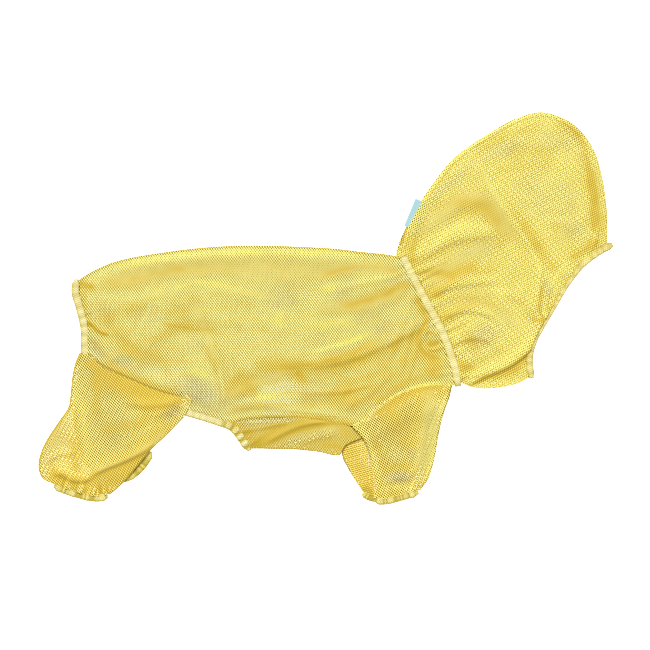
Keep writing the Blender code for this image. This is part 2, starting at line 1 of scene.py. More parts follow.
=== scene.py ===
# Mesh suit for a dog, laid flat on its left side. Sizes are in millimetres in the plan
# (x from tail to head, y from belly to back) and become metres when a mesh is made.
import math

import bmesh
import bpy
import numpy as np
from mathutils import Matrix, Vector


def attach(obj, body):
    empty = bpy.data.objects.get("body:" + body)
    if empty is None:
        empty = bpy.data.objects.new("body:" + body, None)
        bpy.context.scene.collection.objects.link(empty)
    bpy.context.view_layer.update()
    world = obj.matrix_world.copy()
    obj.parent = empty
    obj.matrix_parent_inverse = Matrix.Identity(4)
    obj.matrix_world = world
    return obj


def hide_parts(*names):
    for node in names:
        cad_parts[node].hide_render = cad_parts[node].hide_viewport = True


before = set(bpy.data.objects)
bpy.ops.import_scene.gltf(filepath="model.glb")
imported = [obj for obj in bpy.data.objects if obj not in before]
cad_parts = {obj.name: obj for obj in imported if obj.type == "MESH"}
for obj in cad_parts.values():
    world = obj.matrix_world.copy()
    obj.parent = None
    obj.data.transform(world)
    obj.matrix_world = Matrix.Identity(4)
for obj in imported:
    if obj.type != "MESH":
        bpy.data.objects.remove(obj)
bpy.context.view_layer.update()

bpy.ops.object.select_all(action="DESELECT")
millimetre = 0.001
mapScale = 0.01          # a millimetre of cloth on the "cut" map
bakeEdge = 0.004         # free edge of the "OFBake" map
print("frame loaded:", len(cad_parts), "nodes")


def ease(value):
    held = np.clip(value, 0.0, 1.0)
    return held * held * (3.0 - 2.0 * held)


def mix(first, second, share):
    return first + (second - first) * share


def bell(distance, width):
    return np.exp(-(distance / width) ** 2)


# Lines in the plan are arrays of points, read by the share of their length.
def curveLine(points, steps=16):
    ends = np.array(points, float)
    ends = np.vstack([2 * ends[0] - ends[1], ends, 2 * ends[-1] - ends[-2]])
    share = (np.arange(steps) / steps)[:, None]
    found = []
    for before, start, stop, after in zip(ends, ends[1:], ends[2:], ends[3:]):
        found.append(0.5 * (2 * start + (stop - before) * share
                            + (2 * before - 5 * start + 4 * stop - after) * share ** 2
                            + (3 * start - before - 3 * stop + after) * share ** 3))
    return np.vstack(found + [ends[-2:-1]])


def straightLine(*points):
    return np.array(points, float)


def lineLengths(line):
    return np.concatenate([[0.0], np.cumsum(np.linalg.norm(np.diff(line, axis=0), axis=1))])


def lineAt(line, shares):
    lengths = lineLengths(line)
    wanted = np.clip(shares, 0.0, 1.0) * lengths[-1]
    return np.stack([np.interp(wanted, lengths, line[:, 0]),
                     np.interp(wanted, lengths, line[:, 1])], axis=-1)


def lineHeading(line, shares):
    step = 0.006
    ahead = lineAt(line, np.asarray(shares) + step) - lineAt(line, np.asarray(shares) - step)
    return ahead / np.linalg.norm(ahead, axis=-1, keepdims=True)


def lineSide(line, shares):
    ahead = lineHeading(line, shares)
    return np.stack([-ahead[..., 1], ahead[..., 0]], axis=-1)


def linePart(line, start, stop, count=60):
    return lineAt(line, np.linspace(start, stop, count))


def lineBeside(line, distance, count=80):
    shares = np.linspace(0.0, 1.0, count)
    return lineAt(line, shares) + lineSide(line, shares) * distance


def linePinned(line, start, stop, reach=0.15, count=90):
    shares = np.linspace(0.0, 1.0, count)
    first = (start - line[0]) * ease(1.0 - shares / reach)[:, None]
    last = (stop - line[-1]) * ease((shares - 1.0 + reach) / reach)[:, None]
    return lineAt(line, shares) + first + last


def joinLines(*lines):
    return np.vstack(lines)


def patchGrid(top, bottom, left, right, across, down):
    # points of a panel between four lines, indexed by across and then by down
    acrossColumn = across[:, None, None]
    downRow = down[None, :, None]
    spots = mix(lineAt(top, across)[:, None], lineAt(bottom, across)[:, None], downRow)
    for side, weight in ((left, 1.0 - acrossColumn), (right, acrossColumn)):
        ends = mix(lineAt(side, 0.0), lineAt(side, 1.0), downRow)
        spots = spots + weight * (lineAt(side, down)[None] - ends)
    return spots


def easedTable(rows, shares):
    # heights at some shares, eased between a table's rows of share and height
    places = np.array([row[0] for row in rows])
    heights = np.array([row[1] for row in rows])
    index = np.clip(np.searchsorted(places, shares, side="right") - 1, 0, len(rows) - 2)
    inside = ease((shares - places[index]) / (places[index + 1] - places[index]))
    return mix(heights[index], heights[index + 1], inside)


# A fold is a soft ridge along a smooth line, or a trough where its height is negative.
# lean is its width to the right of the line as a share of that to the left, so a small
# lean makes it steep there. tone is painted shade at its foot on that side, or painted
# highlight there where it is negative.
def fold(width, height, lean, tone, *line):
    return {"width": width, "height": height, "lean": lean, "tone": tone, "line": line}


def shade(width, tone, *line):
    # a band of painted shade only, or of painted highlight where its tone is negative
    return fold(width, 0.0, 1.0, tone, *line)


def nearestOnLine(line, spots):
    # distance to a line, positive on its left, and the share of its length reached
    flat = spots.reshape(-1, 2)
    lengths = lineLengths(line)
    best = np.full(len(flat), np.inf)
    signed = np.zeros(len(flat))
    shares = np.zeros(len(flat))
    for index, (start, stop) in enumerate(zip(line, line[1:])):
        run = stop - start
        squared = float(run @ run)
        if squared == 0.0:
            continue
        offset = flat - start
        along = np.clip(offset @ run / squared, 0.0, 1.0)
        away = offset - along[:, None] * run
        distance = np.hypot(away[:, 0], away[:, 1])
        closer = distance < best
        best = np.where(closer, distance, best)
        side = run[0] * away[:, 1] - run[1] * away[:, 0]
        signed = np.where(closer, np.where(side < 0.0, -distance, distance), signed)
        reached = (lengths[index] + along * math.sqrt(squared)) / lengths[-1]
        shares = np.where(closer, reached, shares)
    shape = spots.shape[:-1]
    return signed.reshape(shape), shares.reshape(shape)


foldScale = 1.1          # all folds' heights
foldEnds = 0.22          # the share of its length in which a fold fades out at each end


def foldRelief(folds, spots):
    height = np.zeros(spots.shape[:-1])
    tone = np.zeros(spots.shape[:-1])
    for row in folds:
        line = curveLine(row["line"], steps=6)
        signed, shares = nearestOnLine(line, spots)
        fade = ease(shares / foldEnds) * ease((1.0 - shares) / foldEnds)
        width = np.where(signed > 0.0, row["width"], row["width"] * row["lean"])
        height += foldScale * row["height"] * fade * bell(signed, width)
        foot = row["width"] * row["lean"]
        middle = -foot if row["height"] else 0.0
        # painted shade at the fold's foot, or painted highlight where its tone is negative
        tone += row["tone"] * fade * bell(signed - middle, foot + 0.6)
    return height, np.clip(tone, -0.9, 1.0)


def unevenWave(share, count, seed):
    # a wave with about that many crests, uneven in spacing and height, from 0 to 1
    drift = 0.16 * np.sin(2 * math.pi * (2.3 * share + 0.37 * seed))
    drift = drift + 0.09 * np.sin(2 * math.pi * (5.1 * share + 0.71 * seed))
    swing = 0.5 + 0.5 * np.cos(2 * math.pi * (count * share + drift * 2.2 + 0.13 * seed))
    return swing * (0.72 + 0.28 * np.sin(2 * math.pi * (3.7 * share + 0.53 * seed)))


def gatherRelief(row, share, fromEdge):
    # gathers that run in from an edge, with painted shade between them; fromEdge is the distance
    # from it
    reach = row["reach"] * (0.75 + 0.5 * unevenWave(share, row["count"] * 0.37, row["seed"] + 3))
    fade = ease(1.0 - fromEdge / reach)
    wave = unevenWave(share, row["count"], row["seed"])
    return row["depth"] * fade * wave, row["tone"] * fade * (1.0 - wave) ** 2


def softSpots(rows, spots):
    # soft oval spots: centre, half length, half width, turn in degrees and strength
    total = np.zeros(spots.shape[:-1])
    for centre, half, width, turn, strength in rows:
        angle = math.radians(turn)
        away = spots - np.array(centre, float)
        along = away[..., 0] * math.cos(angle) + away[..., 1] * math.sin(angle)
        aside = away[..., 1] * math.cos(angle) - away[..., 0] * math.sin(angle)
        total += strength * np.exp(-((along / half) ** 2 + (aside / width) ** 2) ** 1.5)
    return total


def addGathers(relief, tone, *rows):
    # each row: the gathers, the points' distances from their edge and shares along it
    for gathers, (away, share) in rows:
        depth, paintedShade = gatherRelief(gathers, share, np.abs(away))
        relief = relief + depth
        tone = tone + paintedShade
    return relief, tone


def softWaves(spots, size, seed):
    # broad uneven waves of loose cloth, from -1 to 1
    x = spots[..., 0] / size
    y = spots[..., 1] / size
    turn = 0.7 * seed
    total = np.sin(2.1 * x + 1.3 * y + turn) + 0.8 * np.sin(-1.2 * x + 2.6 * y + 2.1 * turn)
    total = total + 0.6 * np.sin(3.9 * x - 2.2 * y + 3.3 * turn)
    return (total + 0.5 * np.sin(1.6 * x + 4.4 * y - 1.7 * turn)) / 2.9


def looseWaves(rows, spots):
    # each row: the waves' strength, their size in mm and a seed
    return sum(strength * softWaves(spots, size, seed) for strength, size, seed in rows)


def gridCells(grid):
    # the values at the four corners of each cell
    return np.stack([grid[:-1, :-1], grid[1:, :-1], grid[1:, 1:], grid[:-1, 1:]], axis=2)


def onNear(values, shape):
    # values of the near layer only, in the whole piece's grid
    whole = np.zeros(shape)
    whole[:, :values.shape[1]] = values
    return whole


def gridMesh(name, grid, cut, depth, paint, ring=False, facesDown=False, shadowPatch=None, even=None):
    # grid: rows of points in mm. cut: the same points on the cloth as it was cut, in mm
    rows, columns = grid.shape[:2]
    points = grid.reshape(-1, 3) * millimetre
    index = np.arange(rows * columns).reshape(rows, columns)
    if ring:
        index = np.concatenate([index, index[:, :1]], axis=1)
    quads = gridCells(index).reshape(-1, 4)
    mesh = bpy.data.meshes.new(name)
    mesh.from_pydata(points.tolist(), [], quads.tolist())
    build = bmesh.new()
    build.from_mesh(mesh)
    build.normal_update()
    highest = max(build.faces, key=lambda face: face.calc_center_median().z)
    turned = (highest.normal.z < 0.0) != facesDown
    build.free()

    if ring:
        # one more column closes the maps
        cut = np.concatenate([cut, cut[:, -1:] + (cut[:, -1:] - cut[:, -2:-1])], axis=1)
    rowPlaces, columnPlaces = np.indices(cut.shape[:2])
    bake = np.stack([columnPlaces / (cut.shape[1] - 1), rowPlaces / (rows - 1)], axis=-1)
    cutMap = mesh.uv_layers.new(name="cut")
    cutMap.data.foreach_set("uv", (gridCells(cut) * mapScale).ravel())
    bakeMap = mesh.uv_layers.new(name="OFBake")
    bakeMap.data.foreach_set("uv", (bakeEdge + (1 - 2 * bakeEdge) * gridCells(bake)).ravel())
    for label, values in (("depth", depth), ("shadowPatch", shadowPatch), ("even", even)):
        if values is not None:
            attribute = mesh.attributes.new(label, "FLOAT", "POINT")
            attribute.data.foreach_set("value", np.clip(values, -1.0, 2.0).ravel())
    if turned:
        mesh.flip_normals()
    mesh.uv_layers.active = mesh.uv_layers["cut"]
    mesh.shade_smooth()
    mesh.materials.append(paint)
    made = bpy.data.objects.new(name, mesh)
    bpy.context.scene.collection.objects.link(made)
    return made


def withHeight(spots, height):
    return np.concatenate([spots, height[..., None]], axis=-1)


def turnedEdge(near, far, outward, steps):
    # the cloth's turn from the upper layer to the lower one; rows run along the edge
    radius = ((near[:, 2] - far[:, 2]) / 2)[:, None]
    share = (np.arange(1, steps + 1) / (steps + 1))[None, :]
    spots = mix(near[:, None, :2], far[:, None, :2], share[..., None])
    spots = spots + outward[:, None, :] * (radius * np.sin(math.pi * share))[..., None]
    height = far[:, 2:3] + radius + radius * np.cos(math.pi * share)
    return withHeight(spots, height)


def netMap(spots, turn, stretch=1.0):
    # the net's own directions on a piece, in mm; turn is in degrees
    angle = math.radians(turn)
    x = spots[..., 0] * math.cos(angle) + spots[..., 1] * math.sin(angle)
    y = -spots[..., 0] * math.sin(angle) + spots[..., 1] * math.cos(angle)
    return np.stack([x * stretch, y], axis=-1)


def laid(piece, node, flat):
    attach(piece, "root")
    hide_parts(node)
    surface = sum(polygon.area for polygon in piece.data.polygons)
    print(f"  {piece.name}: {len(piece.data.polygons)} faces, area {surface:.4f}")


class Wire:
    # a socket in a material's node tree, with arithmetic that adds Math nodes
    def __init__(self, tree, socket):
        self.tree = tree
        self.socket = socket

    def math(self, operation, *values):
        made = node(self.tree, "ShaderNodeMath", {"operation": operation},
                    dict(enumerate(values)))
        return Wire(self.tree, made.outputs[0])

    def __add__(self, other):
        return self.math("ADD", self, other)

    __radd__ = __add__

    def __mul__(self, other):
        return self.math("MULTIPLY", self, other)

    __rmul__ = __mul__

    def __sub__(self, other):
        return self.math("SUBTRACT", self, other)

    def __rsub__(self, other):
        return self.math("SUBTRACT", other, self)

    def __truediv__(self, other):
        return self.math("DIVIDE", self, other)

    def cosine(self):
        return self.math("COSINE", self)

    def fraction(self):
        return self.math("FRACT", self)

    def size(self):
        return self.math("ABSOLUTE", self)

    def between(self, low, high):
        # 0 at low and 1 at high, eased
        made = node(self.tree, "ShaderNodeMapRange", {"interpolation_type": "SMOOTHSTEP"},
                    {"Value": self, "From Min": low, "From Max": high})
        return Wire(self.tree, made.outputs[0])


def node(tree, kind, settings=None, values=None):
    made = tree.nodes.new(kind)
    for name, value in (settings or {}).items():
        setattr(made, name, value)
    for name, value in (values or {}).items():
        if isinstance(value, Wire):
            tree.links.new(value.socket, made.inputs[name])
        else:
            made.inputs[name].default_value = value
    return made


def colourMix(tree, share, first, second):
    made = node(tree, "ShaderNodeMix", {"data_type": "RGBA"},
                {"Factor": share, 6: first, 7: second})
    return Wire(tree, made.outputs[2])


def startMaterial(name):
    made = bpy.data.materials.new(name)
    made.use_nodes = True
    tree = made.node_tree
    shader = tree.nodes["Principled BSDF"]
    return made, tree, shader


def cutPlaces(tree):
    # the cloth's own directions in mm
    place = node(tree, "ShaderNodeUVMap", {"uv_map": "cut"})
    split = node(tree, "ShaderNodeSeparateXYZ", None, {0: Wire(tree, place.outputs[0])})
    perMap = 1.0 / mapScale
    return (Wire(tree, split.outputs[0]) * perMap, Wire(tree, split.outputs[1]) * perMap,
            Wire(tree, place.outputs[0]))


def attributeWire(tree, name):
    made = node(tree, "ShaderNodeAttribute", {"attribute_name": name})
    return Wire(tree, made.outputs["Fac"])


def linkBump(tree, shader, relief, strength, height):
    bump = node(tree, "ShaderNodeBump", None,
                {"Strength": strength, "Distance": height, "Height": relief})
    tree.links.new(bump.outputs[0], shader.inputs["Normal"])


def netWave(along, aside, pitch, row, lean=0.62):
    # -1 to 1, highest at the holes of the net: every second row is shifted half a hole.
    # lean: how much of it is in the rows that fall to the right
    forward = along * (2 * math.pi / pitch)
    sideways = aside * (math.pi / row)
    return (forward + sideways).cosine() * lean + (forward - sideways).cosine() * (1.0 - lean)


netLook = {
    "pitch": 2.8,            # mm from hole to hole along a row
    "row": 1.9,              # mm from row to row
    "softness": 0.20,        # of the holes' edges
    "drift": (3.0, 2.6),     # the rows wander by so many mm, and the noise's scale
    "knots": (-0.6, 0.1),    # the wave's heights between which knot turns to strand
    "fold": (0.56, 0.37, 0.006, 1.0),        # painted shade deep in a fold
    "foldShadeKnot": (0.82, 0.60, 0.02, 1.0),
    "foldShadeStrand": (0.40, 0.245, 0.001, 1.0),
    "foldShadeShare": 0.7,        # the most that the painted fold shade takes of the net's own colours
    "edge": (0.42, 0.31, 0.008, 1.0),        # painted shade on a folded edge
    # painted highlight where depth is negative: on fold ridges, flat hems and the far layers
    "highlightKnot": (0.92, 0.87, 0.30, 1.0),
    "highlightStrand": (0.73, 0.64, 0.06, 1.0),
    "evenNet": (0.64, 0.56, 0.14, 1.0),      # where its holes can't be told apart
    "evenShare": 0.95,
    "clearKnot": (1.00, 0.96, 0.36, 1.0),    # where they stand out
    "clearStrand": (0.43, 0.285, 0.001, 1.0),
    # painted shadow seen through the net, where one layer lies over a shaded gap
    "shadowPatchKnot": (0.86, 0.80, 0.36, 1.0),
    "shadowPatchStrand": (0.18, 0.15, 0.08, 1.0),
    "toneCloses": 0.42,      # how far painted shade or highlight, deep painted fold shade and an even place close the holes
    "deepCloses": 0.3,
    "evenCloses": 0.5,
    "roughness": 0.62,
    "bump": 0.35,
    "bumpHeight": 0.0004,
    "sheen": (0.15, 0.5),    # weight and roughness
}


def netMaterial(name, opening, knot, strand, lean):
    # opening: the wave height past which the net is open, so a higher one is denser
    made, tree, shader = startMaterial(name)
    along, aside, place = cutPlaces(tree)
    reach, scale = netLook["drift"]
    drift = node(tree, "ShaderNodeTexNoise", None,
                 {"Vector": place, "Scale": scale, "Detail": 2.0})
    wander = (Wire(tree, drift.outputs[0]) - 0.5) * reach
    wave = netWave(along + wander, aside - wander, netLook["pitch"], netLook["row"], lean)
    # depth: painted shade where it is positive, painted highlight where it is negative
    depth = attributeWire(tree, "depth")
    even = attributeWire(tree, "even")
    # patches of painted shadow seen through the holes
    shadowPatch = attributeWire(tree, "shadowPatch")
    clear = even * -1.0
    paintedHighlight = depth * -1.0
    start = (opening + depth.size() * netLook["toneCloses"]
             + depth.between(0.4, 1.0) * netLook["deepCloses"]
             + even.between(0.0, 1.0) * netLook["evenCloses"])
    solid = 1.0 - ((wave - start) / netLook["softness"]).between(-0.5, 0.5)
    light = colourMix(tree, paintedHighlight, colourMix(tree, shadowPatch, knot, netLook["shadowPatchKnot"]),
                      netLook["highlightKnot"])
    dark = colourMix(tree, paintedHighlight, colourMix(tree, shadowPatch, strand, netLook["shadowPatchStrand"]),
                     netLook["highlightStrand"])
    light = colourMix(tree, clear, light, netLook["clearKnot"])
    dark = colourMix(tree, clear, dark, netLook["clearStrand"])
    # pale knots, strands darker by the holes: partly the net's thick and thin yarn, partly
    # painted shade at the holes' edges
    share = wave.between(*netLook["knots"])
    evened = even * netLook["evenShare"]
    first = colourMix(tree, evened, colourMix(tree, share, light, dark), netLook["evenNet"])
    # painted fold shade, taken in by depth
    foldShade = colourMix(tree, share, netLook["foldShadeKnot"], netLook["foldShadeStrand"])
    foldShade = colourMix(tree, evened, foldShade, netLook["fold"])
    shadedColour = colourMix(tree, depth * netLook["foldShadeShare"], first, foldShade)
    # past a depth of 1: the painted shade of a folded edge
    colour = colourMix(tree, depth - 1.0, shadedColour, netLook["edge"])
    tree.links.new(colour.socket, shader.inputs["Base Color"])
    tree.links.new(solid.socket, shader.inputs["Alpha"])
    thread = netWave(along * 3.0, aside * 2.0, netLook["pitch"], netLook["row"])
    linkBump(tree, shader, wave * -0.8 + thread * 0.25, netLook["bump"], netLook["bumpHeight"])
    shader.inputs["Roughness"].default_value = netLook["roughness"]
    shader.inputs["Sheen Weight"].default_value = netLook["sheen"][0]
    shader.inputs["Sheen Roughness"].default_value = netLook["sheen"][1]
    return made


bandLook = {
    "cream": (0.85, 0.79, 0.42, 1.0),
    "straw": (0.52, 0.43, 0.07, 1.0),
    "shade": (0.44, 0.33, 0.015, 1.0),
    "thread": (0.80, 0.68, 0.20, 1.0),
    "pitch": 2.5,
    "row": 1.7,
    "stitch": 2.8,           # mm from stitch to stitch
    "stitchRow": 0.36,       # from the band's middle to its rows, as a share of its width
    "rumple": 22.0,          # the scale of its fine unevenness
    "roughness": 0.7,
    "bump": 0.5,
    "bumpHeight": 0.0005,
}


def bandMaterial(name, width, cream=None):
    # doubled net over elastic: closed, with the net's dots and a row of stitches each side
    made, tree, shader = startMaterial(name)
    along, aside, place = cutPlaces(tree)
    dots = netWave(along, aside, bandLook["pitch"], bandLook["row"])
    depth = attributeWire(tree, "depth")
    rumple = node(tree, "ShaderNodeTexNoise", None,
                  {"Vector": place, "Scale": bandLook["rumple"], "Detail": 3.0,
                   "Roughness": 0.65})
    uneven = Wire(tree, rumple.outputs[0]) - 0.5
    first = colourMix(tree, dots.between(-0.5, 0.6) * 0.7 + uneven * 0.8,
                      cream or bandLook["cream"], bandLook["straw"])
    # depth paints shade: between the band's gathers and along its rims
    second = colourMix(tree, depth, first, bandLook["shade"])
    fromRow = ((aside / width - 0.5).size() - bandLook["stitchRow"]).size() * width
    stitches = (1.0 - fromRow.between(0.15, 0.45)) * (
        (along / bandLook["stitch"]).fraction() - 0.5).size().between(0.38, 0.30)
    third = colourMix(tree, stitches * 0.6, second, bandLook["thread"])
    tree.links.new(third.socket, shader.inputs["Base Color"])
    linkBump(tree, shader, dots * -0.5 + uneven * 1.6 + stitches * 1.2, bandLook["bump"],
             bandLook["bumpHeight"])
    shader.inputs["Roughness"].default_value = bandLook["roughness"]
    return made


def ribbonMaterial(name, colour, darker, rib, roughness, glow=0.0):
    # a woven ribbon; rib: mm from one of its fine ribs to the next
    made, tree, shader = startMaterial(name)
    along, aside, place = cutPlaces(tree)
    ribs = (aside * (2 * math.pi / rib)).cosine()
    grain = node(tree, "ShaderNodeTexNoise", None,
                 {"Vector": place, "Scale": 60.0, "Detail": 2.0})
    uneven = Wire(tree, grain.outputs[0])
    paint = colourMix(tree, ribs * 0.25 + uneven * 0.5, colour, darker)
    tree.links.new(paint.socket, shader.inputs["Base Color"])
    linkBump(tree, shader, ribs + uneven, 0.3, 0.0002)
    shader.inputs["Roughness"].default_value = roughness
    # painted glow: stands in for the lit table shining through a thin ribbon
    shader.inputs["Emission Color"].default_value = colour
    shader.inputs["Emission Strength"].default_value = glow
    return made


bodyNet = netMaterial("bodyNet", 0.24, (1.00, 0.96, 0.38, 1.0), (0.46, 0.335, 0.001, 1.0), 0.62)
hoodNet = netMaterial("hoodNet", 0.32, (0.90, 0.83, 0.25, 1.0), (0.60, 0.46, 0.012, 1.0), 0.46)
legNet = netMaterial("legNet", 0.26, (1.00, 0.95, 0.27, 1.0), (0.65, 0.40, 0.001, 1.0), 0.60)
chestNet = netMaterial("chestNet", 0.34, (0.80, 0.71, 0.21, 1.0), (0.50, 0.375, 0.012, 1.0),
                       0.46)
print("materials made")


# the suit's seams, hems and folds as it lies
plan = {
    "backFold": [(-272, 34.5), (-266, 38.5), (-257, 43.5), (-240, 50), (-222, 54.5),
                 (-205, 58), (-161, 64.5), (-123, 68.2), (-79, 69.6), (-29, 68.2),
                 (15, 65.5), (53, 59.5), (78, 54)],
    "seatLine": [(-275.5, 30.5), (-276, 17), (-272, 3), (-268.5, -10), (-266, -24),
                 (-266, -38), (-264.5, -52), (-257, -67), (-243, -82), (-218, -95),
                 (-188, -105), (-168, -110), (-146, -116), (-123.5, -123), (-105, -130),
                 (-97, -138), (-92.5, -144.5), (-85.5, -155)],
    "hindSeam": [(-268, -53.5), (-259, -56.5), (-250, -61.5), (-236, -68.5), (-215, -77.5),
                 (-192, -87.5), (-174, -93), (-160, -97), (-150.5, -102.5)],
    "chestSeam": [(-102, -124.5), (-89, -121.5), (-64, -119.5), (-35, -120), (-7, -123),
                  (25, -128.5)],
    "armhole": [(28, -129), (38, -125), (48, -116), (60, -105), (73, -97), (87, -91),
                (114, -84.5), (134, -85)],
    "neckLine": [(84.5, 57), (93, 40), (100, 26), (110.5, 6), (121, -13), (130, -32),
                 (136.5, -50), (141.5, -66), (144.2, -82)],
    "crown": [(83, 70), (85.5, 80), (89.5, 91), (98, 107), (109, 126), (133, 158),
              (153, 176), (182, 194.8), (208, 209), (236, 216.2), (262, 208.8), (281, 194.5),
              (296, 171), (304, 142), (308.3, 113), (308.9, 90), (308, 77)],
    "hoodNape": [(83, 70), (79, 65), (76.5, 60), (77.5, 56), (82.5, 55)],
    "faceLine": [(314, 69.3), (301, 63), (283, 50), (271.5, 37), (262, 24), (254, 10.5),
                 (246.5, -2.5), (238.5, -16), (232, -27.5), (228, -36), (224.5, -48),
                 (223.5, -61), (226, -75)],
    "chinEdge": [(150.5, -83), (162, -87), (178, -88), (199, -85.5), (221, -79)],
    "chestFold": [(-80, -155), (-62, -154.5), (-35, -154.5), (-9, -157.5), (6, -161),
                  (15, -161), (18.5, -154), (24, -148.5), (45, -140), (66, -131),
                  (96, -117), (124, -99)],
    "stripTop": [(27, -131), (62, -117), (95, -104), (122, -93)],
    "rightSleeveLeft": [(30, -131), (42, -143), (49, -160), (53, -176), (57, -191),
                        (55, -205)],
    "rightSleeveRight": [(132.5, -89), (130, -102), (126, -114), (122.3, -130),
                         (120, -145), (118.5, -158), (115.5, -173), (111, -187),
                         (103, -198)],
    "rightFrontCuff": [(52, -210.5), (62, -211.7), (74, -209.6), (88, -205.6),
                       (103, -202)],
    "leftSleeveLeft": [(30, -131), (19.5, -146), (17, -161), (22.5, -174), (30, -187),
                       (37, -197.5)],
    "leftSleeveRight": [(131, -89), (118, -106), (110, -122), (106, -144), (101, -168),
                        (93, -189), (84, -200)],
    "leftFrontCuff": [(39, -203), (50, -208.3), (66, -209.5), (84, -204.5)],
    "rightLegLeft": [(-270, -50), (-274.5, -60), (-278, -74), (-280, -90), (-282.5, -108),
                     (-292, -122), (-302, -136), (-310, -149), (-315.2, -163),
                     (-316, -175), (-311, -185.5), (-300, -190.5)],
    "rightLegRight": [(-157.5, -119.5), (-166, -128.5), (-176, -138.5), (-188, -149),
                      (-198.5, -160), (-209, -172), (-219, -184), (-229, -194),
                      (-237, -200.5)],
    "rightHindCuff": [(-301, -195), (-288, -200), (-272, -205), (-254, -208.4),
                      (-237.5, -206)],
    "leftLegLeft": [(-270, -51), (-275, -76), (-279, -107), (-277, -140), (-270, -165),
                    (-257, -180), (-246, -185)],
    "leftLegRight": [(-157.5, -119.5), (-168, -129), (-178, -136.5), (-187, -143),
                     (-196, -151)],
    "leftHindCuff": [(-243, -190), (-228, -188.7), (-212.5, -182.5), (-200.5, -170.5),
                     (-192, -155)],
}
seams = {name: curveLine(points) for name, points in plan.items()}

levels = {
    "floor": 0.5,            # middle of the cloth that lies on the surface
    "onFloor": 1.0,          # inner face of the wall that lies on it
    "half": 0.5,             # from a solid wall's inner face to its middle
    "back": 1.6,
    "body": 2.8,
    "crown": 1.3,
    "hoodEdge": 0.9,         # where the two halves of the hood meet
    "armhole": 6.7,
    "least": 2.65,           # clears the care label
}


